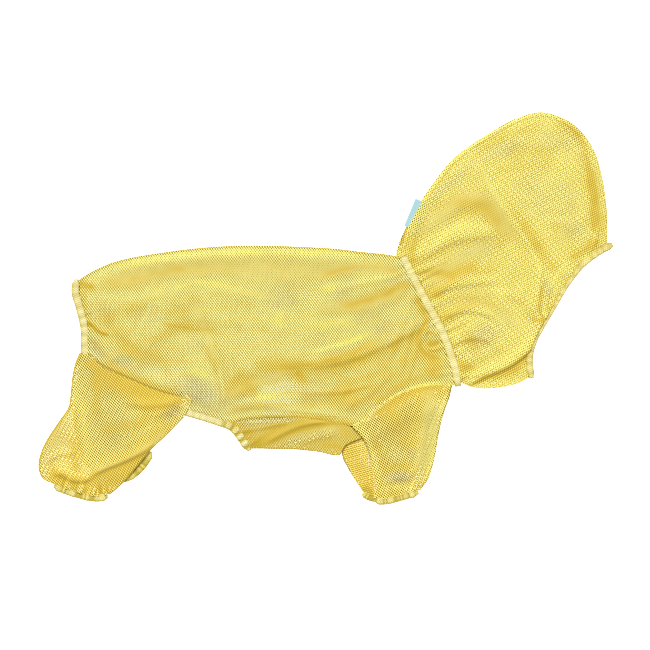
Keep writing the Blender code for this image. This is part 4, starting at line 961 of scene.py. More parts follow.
# hood: two halves joined by the crown seam
hoodLook = {
    "columns": 150,
    "rows": 190,
    "farColumns": 70,
    "farRows": 90,
    "netTurn": -26.0,
    "farTurn": 6.0,
    # painted shadow seen through the net, in soft spots
    "shadowPatchSpots": [
        ((243.7, 123.8), 34, 22, -20, 0.30), ((252.5, 183.2), 24, 10, -20, 0.30),
        ((135.9, 137), 24, 6, 40, 0.4), ((196.4, 174.4), 22, 7, 25, 0.4),
        ((243.7, 22.6), 5, 10, 20, 0.6), ((168.9, 64.4), 20, 9, 10, 0.3),
        ((171.1, -30.3), 18, 12, 20, 0.5), ((273.4, 86.4), 12, 14, 20, 0.35),
        ((190.9, -18.2), 14, 10, 20, 0.3),
    ],
    "neckGathers": {"count": 10, "depth": 1.3, "reach": 46, "tone": 0.42, "seed": 7},
    "neckFrill": {"count": 27, "depth": 0.9, "reach": 7, "tone": 0.45, "seed": 3},
    "faceGathers": {"count": 9, "depth": 0.7, "reach": 12, "tone": 0.25, "seed": 1},
    "waves": [(0.5, 30.0, 4), (0.2, 11.0, 2)],
    "waveTones": [(0.10, 10.0, 8), (0.10, 24.0, 9)],
    # the crown seam's ridge: mm from the edge, height and width. Painted shade: place, width,
    # tone
    "crownSeam": (3.4, 0.7, 1.1),
    "crownTones": [(4.9, 0.8, 0.7), (0.0, 0.9, 1.2)],
    "overTab": [fold(11, 2.0, 1.0, 0.0, (114, 133), (101, 104), (88, 75))],
    "lowest": -0.6,
    # painted light on the far half
    "farTone": -0.6,
    "flat": (0.232, 0.310), "area": 0.0440,
    "folds": [
        fold(9, 1.7, 0.55, 0.35, (94.1, 44.6), (107.3, 57.8), (124.9, 68.8), (153.5, 78.7),
             (192, 82)),
        fold(8, 0.0, 1.0, 0.45, (102.9, 35.8), (130.4, 40.2), (166.7, 42.4), (196.4, 44.6)),
        fold(7, 1.6, 0.5, 0.35, (109.5, 9.4), (124.9, 19.2), (142.5, 25.9), (168.9, 29.2),
             (193.1, 27)),
        fold(6, 1.5, 0.5, 0.35, (122.7, -14.9), (135.9, -7.2), (151.2, -2.8), (171.1, -3.9),
             (188.7, -12.7)),
        fold(6, 1.2, 0.5, 0.30, (133.7, -43.5), (149.1, -34.7), (168.9, -32.5), (186.5, -39.1)),
        fold(8, 1.0, 0.7, 0.20, (138.1, -69.9), (155.7, -58.9), (177.7, -50.1), (196.4, -34.7)),
        fold(12, 1.0, 0.6, 0.30, (157.9, 141.4), (182.1, 123.8), (208.5, 90.8), (232.7, 60)),
        fold(12, 0.0, 1.0, 0.25, (135.9, 115), (164.5, 106.2), (193.1, 88.6)),
        fold(10, 0.8, 0.7, 0.25, (107.3, 79.8), (131.5, 104), (157.9, 117.2), (190.9, 119.4)),
        fold(5, 0.0, 1.0, 0.60, (289.9, 163.4), (294.2, 135.9), (297.6, 106.2), (298.7, 75.4)),
        fold(7, 1.0, 0.6, 0.20, (267.9, 185.4), (283.2, 163.4), (288.8, 130.4), (289.9, 90.8)),
        fold(2.6, 1.0, 0.6, 0.40, (236, -3.9), (233.8, 9.4), (234.9, 27), (237.1, 49)),
        fold(9, 2.4, 0.13, 1.25, (138.1, -88.6), (153.5, -85.2), (176.6, -74.2), (201.9, -63.3),
             (222.8, -46.8), (234.9, -28.1), (244.8, -8.2), (249.2, 2.8)),
        fold(2.5, 0.9, 0.7, 0.2, (248.1, 27), (238.2, 16), (236, 0.6), (242.6, -10.5),
             (250.3, -3.9)),
        fold(9, 0.8, 0.6, 0.2, (190.9, 20.4), (215.1, 9.4), (230.5, -10.5)),
        fold(9, 0.7, 0.7, 0.2, (240.4, 91.9), (259.1, 95.2), (276.7, 84.2)),
        fold(14, 0.8, 0.7, 0.2, (190.9, 174.4), (223.9, 183.2), (259.1, 172.2)),
        fold(4, 0.0, 1.0, 0.5, (284.4, 64.4), (294.2, 71), (300.9, 77.6)),
        fold(3, 0.9, 0.6, 0.4, (289.9, 62.2), (296.5, 75.4), (298.7, 90.8)),
        # painted shade and highlight on the loose cloth, crown to chin
        shade(4, -0.5, (124.9, 150.2), (157.9, 178.8), (196.4, 201.9), (234.9, 211.8),
              (267.9, 203)),
        shade(3.5, -0.5, (276.7, 194.2), (292.1, 172.2), (300.9, 139.2), (305.2, 90.8)),
        shade(5, 0.55, (149.1, 159), (168.9, 172.2), (187.6, 184.3), (207.4, 193.1),
              (230.5, 199.7), (250.3, 203)),
        shade(3.6, 0.8, (241.5, 205.2), (262.4, 199.7), (277.8, 187.6), (285.5, 167.8),
              (289.9, 143.6), (294.2, 121.6), (294.2, 99.6), (293.2, 75.4)),
        shade(4.5, 0.6, (287.7, 150.2), (294.2, 124.9), (295.4, 101.8), (294.2, 77.6)),
        shade(6, 0.25, (179.9, 150.2), (212.9, 154.6), (240.4, 156.8), (263.5, 161.2)),
        shade(7, 0.55, (107.3, 97.4), (122.7, 110.6), (141.4, 117.2), (160.1, 117.2),
              (175.5, 108.4), (186.5, 93), (192, 73.2), (194.2, 46.8)),
        shade(7, 0.38, (188.7, 130.4), (208.5, 99.6), (226.1, 71), (243.7, 49)),
        shade(6, 0.5, (208.5, 110.6), (226.1, 79.8), (243.7, 51.2), (265.7, 31.4)),
        shade(3.4, 0.75, (89.7, 41.2), (107.3, 40.2), (124.9, 39.1), (144.7, 35.8)),
        shade(5.5, 0.7, (102.9, 17.1), (122.7, 21.5), (138.1, 31.4), (153.5, 44.6),
              (173.2, 52.3)),
        shade(4.5, 0.55, (116.1, -13.8), (135.9, -8.2), (149.1, -0.6), (166.7, 3.9),
              (197.5, 3.9)),
        shade(3, 0.35, (107.3, 16), (131.5, 11.6), (157.9, 11.6), (190.9, 13.8)),
        shade(6, 0.5, (142.5, -23.7), (155.7, -28.1), (162.2, -39.1), (173.2, -50.1)),
        shade(4, 0.45, (140.2, -54.5), (151.2, -63.3), (164.5, -66.6)),
        shade(4, 0.9, (157.9, -79.8), (188.7, -71), (206.3, -63.3), (217.3, -45.7)),
        shade(2.6, 0.8, (204.1, -69.9), (215.1, -61.1), (219.5, -45.7)),
        shade(3.6, 0.85, (263.5, 53.4), (276.7, 60), (287.7, 66.6), (296.5, 79.8)),
        shade(2.4, 1.0, (223.9, -10.5), (234.9, -13.8), (248.1, -14.9)),
        shade(1.2, 0.8, (243.7, 35.8), (237.1, 18.2), (233.8, 0.6), (239.3, -12.7),
              (248.1, -12.7), (254.7, 0.6)),
        shade(1.5, -0.9, (247, 33.6), (240.4, 16), (238.2, 0.6), (242.6, -8.2), (249.2, -5),
              (256.9, 9.4), (270.1, 29.2)),
        shade(1.2, 0.7, (251.4, 29.2), (244.8, 13.8), (242.6, 2.8), (245.9, -1.7), (252.5, 9.4),
              (263.5, 27)),
        shade(3.2, 0.75, (100.7, 79.8), (94.1, 64.4), (97.4, 46.8)),
        shade(4.5, -0.6, (105.1, 46.8), (118.3, 68.8), (133.7, 84.2), (153.5, 91.9),
              (175.5, 88.6), (190.9, 79.8)),
        shade(2.6, -0.45, (94.1, 51.2), (107.3, 71), (124.9, 88.6), (138.1, 95.2)),
        shade(1.5, -0.7, (160.1, 174.4), (177.7, 139.2), (199.7, 105.1), (221.7, 72.1),
              (234.9, 42.4), (239.3, 5)),
        shade(3.2, -0.6, (118.3, 16), (142.5, 23.7), (166.7, 27), (188.7, 19.2), (204.1, 0.6)),
        shade(2.8, -0.6, (129.2, -21.5), (146.9, -8.2), (168.9, -3.9), (190.9, -12.7),
              (201.9, -34.7)),
        shade(2.8, -0.55, (149.1, -19.2), (168.9, -11.6), (185.4, -20.4), (190.9, -41.2)),
        shade(3.2, -0.5, (142.5, -34.7), (151.2, -50.1), (171.1, -60), (190.9, -52.3)),
        shade(6, -0.45, (144.7, -87.5), (175.5, -72.1), (201.9, -56.7), (223.9, -36.9),
              (234.9, -14.9)),
        shade(4, -0.4, (157.9, -86.4), (186.5, -82), (219.5, -78.7)),
        shade(9, 0.4, (157.9, -80.9), (190.9, -74.2), (217.3, -63.3)),
        shade(1.4, -0.6, (244.8, 13.8), (248.1, 27), (256.9, 42.4), (270.1, 55.6)),
        shade(18, -0.45, (219.5, 134.8), (241.5, 126), (263.5, 108.4)),
    ],
    "grain": [
        shade(9, 0.8, (89.7, 73.2), (135.9, 110.6), (160.1, 124.9), (182.1, 104), (208.5, 64.4)),
        shade(10, 0.8, (102.9, 22.6), (141.4, 51.2), (168.9, 66.6), (186.5, 77.6)),
        shade(12, 0.5, (122.7, 9.4), (157.9, 9.4), (190.9, -3.9), (206.3, -30.3)),
        shade(4, 0.6, (164.5, 165.6), (185.4, 119.4), (215.1, 64.4)),
        shade(5, 0.5, (263.5, 152.4), (270.1, 108.4), (259.1, 64.4)),
        shade(4, 0.6, (296.5, 163.4), (300.9, 119.4), (303.1, 75.4)),
        shade(4, -0.6, (100.7, 97.4), (130.4, 132.6), (157.9, 156.8), (190.9, 178.8),
              (240.4, 198.6)),
        shade(6, -0.5, (256.9, 205.2), (278.9, 179.9), (294.2, 145.8)),
        shade(14, -0.4, (212.9, 163.4), (232.7, 130.4), (243.7, 91.9)),
        shade(6, -0.5, (245.9, 31.4), (232.7, -1.7), (219.5, -32.5)),
        shade(6, -0.6, (131.5, -54.5), (166.7, -45.7), (197.5, -17.1)),
    ],
}


def hoodLines():
    neck = joinLines(seams["hoodNape"], lineBeside(seams["neckLine"], 3.6))
    face = lineBeside(linePart(seams["faceLine"], 0.03, 1.0), -0.4)
    crown = linePinned(seams["crown"], neck[0], face[0], reach=0.06, count=200)
    chin = linePinned(seams["chinEdge"], neck[-1], face[-1])
    return crown, chin, neck, face


def hoodBase(across, down):
    # low along the crown, higher over the body, highest beside the neck's lower end
    across = across[:, None]
    middle = mix(levels["crown"], levels["body"],
                 ease(down / 0.14) * ease(across / 0.02 + 0.6))
    fromNeck = ease(1.0 - across / 0.3)
    low = mix(levels["crown"] + 0.7, levels["armhole"], fromNeck)
    return mix(middle, low, ease((down - 0.75) / 0.2) * np.maximum(fromNeck, 0.3))


def makeHoodHalf(look, near):
    crown, chin, neck, face = hoodLines()
    across = np.linspace(0.0, 1.0, look["columns"] if near else look["farColumns"])
    down = np.linspace(0.0, 1.0, look["rows"] if near else look["farRows"])
    spots = patchGrid(crown, chin, neck, face, across, down)
    if not near:
        height = np.full(spots.shape[:2], levels["floor"])
        none = np.zeros(spots.shape[:2])
        cut = netMap(spots, look["farTurn"], 1.03)
        return gridMesh("hoodLeft", withHeight(spots, height), cut, none + look["farTone"],
                        hoodNet, facesDown=True, shadowPatch=none, even=none)
    relief, tone = foldRelief(look["folds"], spots)
    fromNeck = nearestOnLine(lineBeside(seams["neckLine"], 3.6), spots)
    relief, tone = addGathers(relief, tone, (look["neckGathers"], fromNeck),
                              (look["neckFrill"], fromNeck),
                              (look["faceGathers"], nearestOnLine(face, spots)))
    relief = relief + foldRelief(look["overTab"], spots)[0] + looseWaves(look["waves"], spots)
    tone = tone + looseWaves(look["waveTones"], spots)
    fromCrown = np.abs(nearestOnLine(crown, spots)[0])
    place, ridge, width = look["crownSeam"]
    relief = relief * ease(fromCrown / 9.0) + ridge * bell(fromCrown - place, width)
    relief = relief * ease((1.0 - down) / 0.03)
    # painted shade beside the crown seam and along the crown edge
    for place, width, paintedShade in look["crownTones"]:
        tone = tone + paintedShade * bell(fromCrown - place, width)
    height = hoodBase(across, down) + levels["half"] + np.maximum(relief, look["lowest"])
    height = np.maximum(height, levels["crown"] - 0.1)
    height = mix(levels["hoodEdge"], height, ease(fromCrown / 2.0))
    return gridMesh("hoodRight", withHeight(spots, height), netMap(spots, look["netTurn"]),
                    tone, hoodNet, shadowPatch=softSpots(look["shadowPatchSpots"], spots),
                    even=foldRelief(look["grain"], spots)[1])


hoodRight = makeHoodHalf(hoodLook, near=True)
hoodLeft = makeHoodHalf(hoodLook, near=False)
laid(hoodRight, "hood_right", hoodLook["flat"])
laid(hoodLeft, "hood_left", hoodLook["flat"])


def tubeRelief(look, spots, across, down, bottom):
    relief, tone = foldRelief(look["folds"], spots)
    relief = relief + look.get("slack", 0.3) * softWaves(spots, 18.0, look["seed"])
    fromSide = np.minimum(across, 1.0 - across)[:, None]
    relief = relief * ease(fromSide / 0.1) * ease(down / 0.08)
    away, share = nearestOnLine(bottom, spots)
    gathers, paintedShade = gatherRelief(look["gathers"], share, np.abs(away))
    return relief + gathers * ease(fromSide / 0.06), tone + paintedShade


def outwardFrom(inside, edge):
    # direction in the plan from points inside a tube to those on its side
    way = edge - inside
    return way / np.maximum(np.linalg.norm(way, axis=-1, keepdims=True), 1e-6)


def makeTube(name, look, tops, sides, bottom, rest):
    # a closed tube: the upper layer, its right turn, the lower layer and its left turn
    across = np.linspace(0.0, 1.0, look["over"])
    underAcross = np.linspace(0.0, 1.0, look["under"])
    down = np.linspace(0.0, 1.0, look["rows"])
    spots = patchGrid(tops[0], bottom, sides[0], sides[1], across, down)
    underSpots = patchGrid(tops[1], bottom, sides[0], sides[1], underAcross, down)
    relief, tone = tubeRelief(look, spots, across, down, bottom)
    bulge = np.clip(np.sin(math.pi * across), 0.0, 1.0)[:, None] ** 0.7
    rise = easedTable(look["side"], down) + easedTable(look["middle"], down) * bulge + relief
    height = rest(spots, down) + np.maximum(rise, 0.3)
    near = withHeight(spots, height + levels["half"]).transpose(1, 0, 2)
    under = rest(underSpots, down) - levels["half"]
    far = withHeight(underSpots, under).transpose(1, 0, 2)[:, ::-1]
    right = outwardFrom(spots[-6], spots[-1])
    left = outwardFrom(spots[5], spots[0])
    rightTurn = turnedEdge(near[:, -1], far[:, 0], right, look["turnRows"])
    leftTurn = turnedEdge(near[:, 0], far[:, -1], left, look["turnRows"])[:, ::-1]
    grid = np.concatenate([near, rightTurn, far, leftTurn], axis=1)
    nearCut = netMap(spots.transpose(1, 0, 2), look["netTurn"])
    farCut = netMap(underSpots.transpose(1, 0, 2)[:, ::-1], look["farTurn"], 1.03)
    steps = np.linspace(0.2, 1.0, look["turnRows"])[None, :, None] * [3.0, 0.0]
    cut = np.concatenate([nearCut, nearCut[:, -1:] + steps, farCut, farCut[:, -1:] + steps],
                         axis=1)
    # painted shade along the tube's side edges, painted highlight where negative; painted light
    # on its lower layer
    leftTone, rightTone = look["edgeTones"]
    tone = (tone + leftTone * bell(across, 0.012)[:, None]
            + rightTone * bell(1.0 - across, 0.012)[:, None])
    depth = np.concatenate([tone.T, np.full(rightTurn.shape[:2], rightTone),
                            np.full(far.shape[:2], -0.35),
                            np.full(leftTurn.shape[:2], leftTone)], axis=1)
    shadowPatch = onNear(softSpots(look.get("shadowPatchSpots", []), spots).T, depth.shape)
    even = onNear(foldRelief(look.get("grain", []), spots)[1].T, depth.shape)
    return gridMesh(name, grid, cut, depth, legNet, ring=True, shadowPatch=shadowPatch, even=even)


sleeveRight = {
    "grain": [
        shade(10, 0.9, (113.9, -74.2), (111.7, -111.7), (107.3, -150.2), (94.1, -188.7)),
        shade(16, -0.7, (43.5, -102.9), (58.9, -133.7), (76.5, -184.3)),
        shade(12, -0.6, (94.1, -85.2), (85.2, -128.2), (76.5, -177.7)),
    ],
    "over": 64, "under": 30, "rows": 74, "turnRows": 4, "seed": 3,
    "netTurn": 16.0, "farTurn": 46.0,
    "side": [(0.0, 0.5), (0.3, 0.6), (0.8, 0.6), (1.0, 0.5)],
    "middle": [(0.0, 0.0), (0.3, 1.2), (0.8, 1.2), (1.0, 0.3)],
    "rest": [(0.00, 6.2), (0.22, 6.2), (0.42, 3.6), (1.00, 3.6)],
    "ramp": {"start": (124, -104), "stop": (92, -204), "width": 12},
    "gathers": {"count": 6, "depth": 1.1, "reach": 15, "tone": 0.85, "seed": 2},
    "flat": (0.200, 0.120), "area": 0.0175,
    "edgeTones": (-0.5, 1.3),
    "folds": [
        fold(1.6, 0.8, 1.0, 0.0, (138.1, -84.2), (113.9, -84.2), (87.5, -90.8), (62.2, -106.2),
             (36.9, -126)),
        fold(4, 1.0, 0.6, 0.35, (28.1, -129.2), (42.4, -142.5), (50.1, -159), (55.6, -174.4),
             (63.3, -195.3)),
        fold(5, 0.7, 0.5, 0.25, (83.1, -199.7), (91.9, -188.7), (101.8, -168.9), (107.3, -144.7),
             (110.6, -122.7), (118.3, -107.3), (131.5, -89.7)),
        fold(8, 0.8, 0.7, 0.2, (50.1, -127.1), (63.3, -151.2), (78.7, -177.7)),
        fold(6, 0.7, 0.6, 0.2, (76.5, -105.1), (83.1, -133.7), (91.9, -162.2)),
        fold(4, 0.8, 0.5, 0.3, (63.3, -193.1), (78.7, -186.5), (94.1, -188.7)),
        shade(26, 0.45, (58.9, -102.9), (80.9, -128.2), (85.2, -161.2)),
        shade(7, 0.55, (146.9, -91.9), (116.1, -91.9), (91.9, -97.4), (72.1, -107.3),
              (50.1, -124.9)),
        shade(1.8, 0.9, (144.7, -86.4), (116.1, -86.4), (89.7, -93), (65.5, -107.3),
              (41.2, -127.1)),
        shade(3, -0.7, (32.5, -129.2), (45.7, -144.7), (51.2, -164.5), (58.9, -195.3)),
        shade(9, -0.9, (133.7, -85.2), (123.8, -122.7), (119.4, -155.7), (113.9, -199.7)),
        shade(3, 0.5, (50.1, -140.2), (58.9, -162.2), (67.7, -188.7)),
        shade(4, 0.6, (63.3, -177.7), (80.9, -173.2), (98.5, -177.7)),
        shade(2.4, -0.5, (63.3, -197.5), (80.9, -196.4), (98.5, -198.6)),
    ],
    # painted shadow seen through the net, in soft spots
    "shadowPatchSpots": [((80.9, -185.4), 16, 7, 0, 0.9), ((116.1, -144.7), 10, 40, -8, 0.45),
                  ((94.1, -162.2), 8, 8, 0, 0.4)],
}

sleeveLeft = {
    "over": 40, "under": 24, "rows": 50, "turnRows": 3, "seed": 6, "slack": 0.0,
    "netTurn": 70.0, "farTurn": 40.0,
    "side": [(0.0, 0.3), (1.0, 0.3)],
    "middle": [(0.0, 0.35), (1.0, 0.35)],
    "gathers": {"count": 4, "depth": 0.3, "reach": 12, "tone": 0.8, "seed": 4},
    "flat": (0.200, 0.120), "area": 0.0175,
    "edgeTones": (0.0, 0.3),
    "folds": [
        fold(3, 0.0, 1.0, 1.3, (43.5, -141.4), (25.9, -144.7), (16, -150.2), (14.9, -162.2),
             (19.2, -175.5)),
        shade(16, 0.8, (14.9, -142.5), (36.9, -177.7), (54.5, -210.7)),
        shade(7, -0.5, (14.9, -131.5), (28.1, -135.9), (41.2, -138.1)),
        shade(2.4, 1.1, (41.2, -196.4), (49, -203), (57.8, -208.5)),
    ],
}

legRight = {
    "grain": [
        shade(24, -0.9, (-291, -39.1), (-253.6, -78.7), (-236, -122.7), (-240.4, -177.7)),
        shade(11, 0.7, (-288.8, -96.3), (-297.6, -128.2), (-295.4, -162.2)),
        shade(4, 0.9, (-271.2, -184.3), (-232.7, -172.2), (-194.2, -150.2), (-165.6, -122.7)),
        shade(8, -0.6, (-266.8, -186.5), (-238.2, -190.9), (-205.2, -184.3)),
    ],
    "over": 96, "under": 40, "rows": 92, "turnRows": 4, "seed": 8,
    "netTurn": 11.0, "farTurn": 41.0,
    "side": [(0.0, 1.85), (0.25, 1.2), (0.8, 0.6), (1.0, 0.5)],
    "middle": [(0.0, 0.4), (0.25, 1.3), (0.8, 1.6), (1.0, 0.4)],
    "rest": 3.6,
    "ramp": {"start": (-264, -200), "stop": (-291, -112), "width": 20},
    "gathers": {"count": 7, "depth": 1.9, "reach": 19, "tone": 1.25, "seed": 3},
    "flat": (0.280, 0.150), "area": 0.0300,
    "edgeTones": (1.5, 1.3),
    "folds": [
        fold(7, 0.0, 1.0, 0.85, (-266.8, -57.8), (-229.4, -74.2), (-200.8, -88.6), (-170, -97.4),
             (-148, -102.9)),
        fold(6, 1.2, 0.6, 0.25, (-227.2, -100.7), (-199.7, -106.2), (-176.6, -105.1),
             (-156.8, -100.7)),
        fold(9, 1.1, 0.5, 0.25, (-263.5, -184.3), (-270.1, -162.2), (-277.8, -133.7),
             (-280, -107.3)),
        fold(8, 2.2, 0.30, 0.60, (-264.6, -186.5), (-242.6, -175.5), (-218.4, -165.6),
             (-183.2, -148)),
        fold(5, 1.0, 0.5, 0.35, (-310.8, -173.2), (-302, -164.5), (-291, -160.1), (-273.4, -159)),
        fold(5, 1.5, 0.35, 0.60, (-304.2, -185.4), (-293.2, -182.1), (-278.9, -188.7),
             (-264.6, -188.7), (-253.6, -183.2)),
        fold(12, 0.9, 0.7, 0.2, (-249.2, -100.7), (-236, -122.7), (-227.2, -149.1)),
        fold(10, 0.8, 0.7, 0.2, (-218.4, -113.9), (-214, -133.7), (-222.8, -155.7)),
        fold(5, 0.8, 0.6, 0.25, (-194.2, -122.7), (-183.2, -116.1), (-163.4, -111.7)),
        fold(4, 0.0, 1.0, 0.5, (-271.2, -69.9), (-264.6, -63.3), (-253.6, -63.3)),
        shade(4, 1.3, (-273.4, -50.1), (-249.2, -63.3), (-225, -76.5), (-200.8, -89.7),
              (-172.2, -97.4), (-150.2, -100.7)),
        shade(14, 0.9, (-266.8, -69.9), (-227.2, -83.1), (-198.6, -91.9), (-163.4, -102.9)),
        shade(14, 0.3, (-321.8, -177.7), (-306.4, -153.5), (-295.4, -122.7), (-282.2, -91.9)),
        shade(12, 0.45, (-266.8, -195.3), (-236, -186.5), (-203, -171.1)),
        shade(9, 0.45, (-317.4, -184.3), (-293.2, -186.5), (-266.8, -190.9), (-244.8, -193.1)),
        shade(9, 0.5, (-258, -195.3), (-229.4, -188.7), (-205.2, -173.2), (-183.2, -151.2)),
        shade(4, 0.6, (-255.8, -67.7), (-252.5, -91.9), (-254.7, -122.7)),
        shade(5, 0.5, (-216.2, -102.9), (-196.4, -105.1), (-174.4, -106.2), (-152.4, -102.9)),
        shade(5, 0.55, (-253.6, -138.1), (-233.8, -130.4), (-209.6, -127.1), (-189.8, -115)),
        shade(8, 0.4, (-258, -171.1), (-229.4, -163.4), (-198.6, -148), (-165.6, -120.5)),
        shade(2.2, 1.4, (-269, -188.7), (-244.8, -181), (-220.6, -171.1), (-198.6, -157.9),
              (-183.2, -146.9)),
        shade(6, 0.7, (-282.2, -135.9), (-276.7, -155.7), (-273.4, -184.3)),
        shade(3, 1.2, (-306.4, -173.2), (-293.2, -182.1), (-277.8, -187.6), (-260.2, -188.7)),
        shade(4, -0.5, (-269, -87.5), (-266.8, -122.7), (-263.5, -157.9), (-264.6, -190.9)),
        shade(5, -0.6, (-275.6, -56.7), (-274.5, -83.1), (-280, -111.7)),
        shade(6, -0.35, (-236, -102.9), (-218.4, -111.7), (-198.6, -113.9)),
        shade(4, -0.4, (-236, -153.5), (-209.6, -140.2), (-185.4, -122.7)),
    ],
    # painted shadow seen through the net, in soft spots
    "shadowPatchSpots": [((-295.4, -142.5), 30, 16, 60, 0.35), ((-236, -122.7), 26, 18, 20, 0.35),
                  ((-170, -113.9), 14, 8, 40, 0.6), ((-277.8, -76.5), 8, 22, 0, 0.4),
                  ((-308.6, -168.9), 10, 16, 0, 0.2)],
}

legLeft = {
    "over": 50, "under": 30, "rows": 60, "turnRows": 3, "seed": 2, "slack": 0.0,
    "netTurn": 12.0, "farTurn": -20.0,
    "side": [(0.0, 0.3), (1.0, 0.3)],
    "middle": [(0.0, 0.0), (1.0, 0.0)],
    "gathers": {"count": 5, "depth": 0.3, "reach": 14, "tone": 1.1, "seed": 6},
    "flat": (0.260, 0.140), "area": 0.0270,
    "edgeTones": (1.5, 1.5),
    "folds": [
        fold(3, 0.0, 1.0, 0.5, (-183.2, -149.1), (-194.2, -164.5), (-207.4, -177.7)),
        shade(4, 0.9, (-181, -142.5), (-189.8, -157.9), (-198.6, -171.1), (-214, -186.5)),
        shade(5, -0.4, (-198.6, -162.2), (-214, -177.7), (-231.6, -188.7)),
        shade(3, 0.6, (-244.8, -199.7), (-227.2, -195.3), (-209.6, -182.1)),
    ],
}


def rampDrop(ramp, spots):
    # 0 over what lies below a limb, 1 past it, eased across the ramp's width
    start = np.array(ramp["start"], float)
    run = np.array(ramp["stop"], float) - start
    run = run / np.linalg.norm(run)
    away = (spots - start) @ np.array([-run[1], run[0]])
    return ease(away / ramp["width"])


def sleeveRest(spots, down):
    past = rampDrop(sleeveRight["ramp"], spots) * ease((down - 0.25) / 0.25)
    return mix(easedTable(sleeveRight["rest"], down), levels["onFloor"], past)


def hindRest(spots, down):
    return mix(legRight["rest"], levels["onFloor"], rampDrop(legRight["ramp"], spots))


def floorRest(spots, down):
    return np.full(spots.shape[:-1], levels["onFloor"])


def makeLegs():
    armhole = joinLines(straightLine((30, -131)), lineBeside(seams["armhole"], 1.5),
                        straightLine((138, -84)))
    strip = joinLines(straightLine((30, -131)), seams["stripTop"], straightLine((132, -89)))
    hind = joinLines(straightLine((-270, -48.5)), lineBeside(seams["hindSeam"], 5.0),
                     straightLine((-150, -107), (-157.5, -119)))
    thigh = joinLines(straightLine((-270, -49.5)),
                      lineBeside(linePart(seams["seatLine"], 0.31, 0.655), -5.0),
                      straightLine((-157.5, -119.5)))
    into = 2.2               # the cloth's end reaches into its cuff
    for name, look, tops, limb, cuff, rest, cadNode, restsOn in (
            ("sleeveRight", sleeveRight, (armhole, strip), "rightSleeve", "rightFrontCuff",
             sleeveRest, "front_sleeve_right", ["chestPanel", "floor"]),
            ("sleeveLeft", sleeveLeft, (strip, armhole), "leftSleeve", "leftFrontCuff",
             floorRest, "front_sleeve_left", ["floor"]),
            ("legRight", legRight, (hind, thigh), "rightLeg", "rightHindCuff",
             hindRest, "hind_leg_right", ["legLeft", "floor"]),
            ("legLeft", legLeft, (thigh, hind), "leftLeg", "leftHindCuff",
             floorRest, "hind_leg_left", ["floor"])):
        sides = (seams[limb + "Left"], seams[limb + "Right"])
        made = makeTube(name, look, tops, sides, lineBeside(seams[cuff], into), rest)
        laid(made, cadNode, look["flat"])


makeLegs()
print("panels, hood and legs made")


# casings over elastic: a strip folded in two, sewn to the cloth at its raw edges
steady = [(0.0, 1.0), (1.0, 1.0)]    # the same all along a band
stripWidth, bandWidth = 0.0215, 9.5  # a strip so wide in metres makes a band so wide in mm
# a band's section: shares of half its width and of its thickness
bandProfile = [(1.0, -0.28), (0.55, -0.50), (0.0, -0.50), (-0.6, -0.50), (-0.9, -0.34),
               (-1.0, 0.0), (-0.92, 0.33), (-0.7, 0.50), (-0.35, 0.46), (0.0, 0.42),
               (0.35, 0.46), (0.7, 0.50), (0.9, 0.38), (1.0, 0.10)]


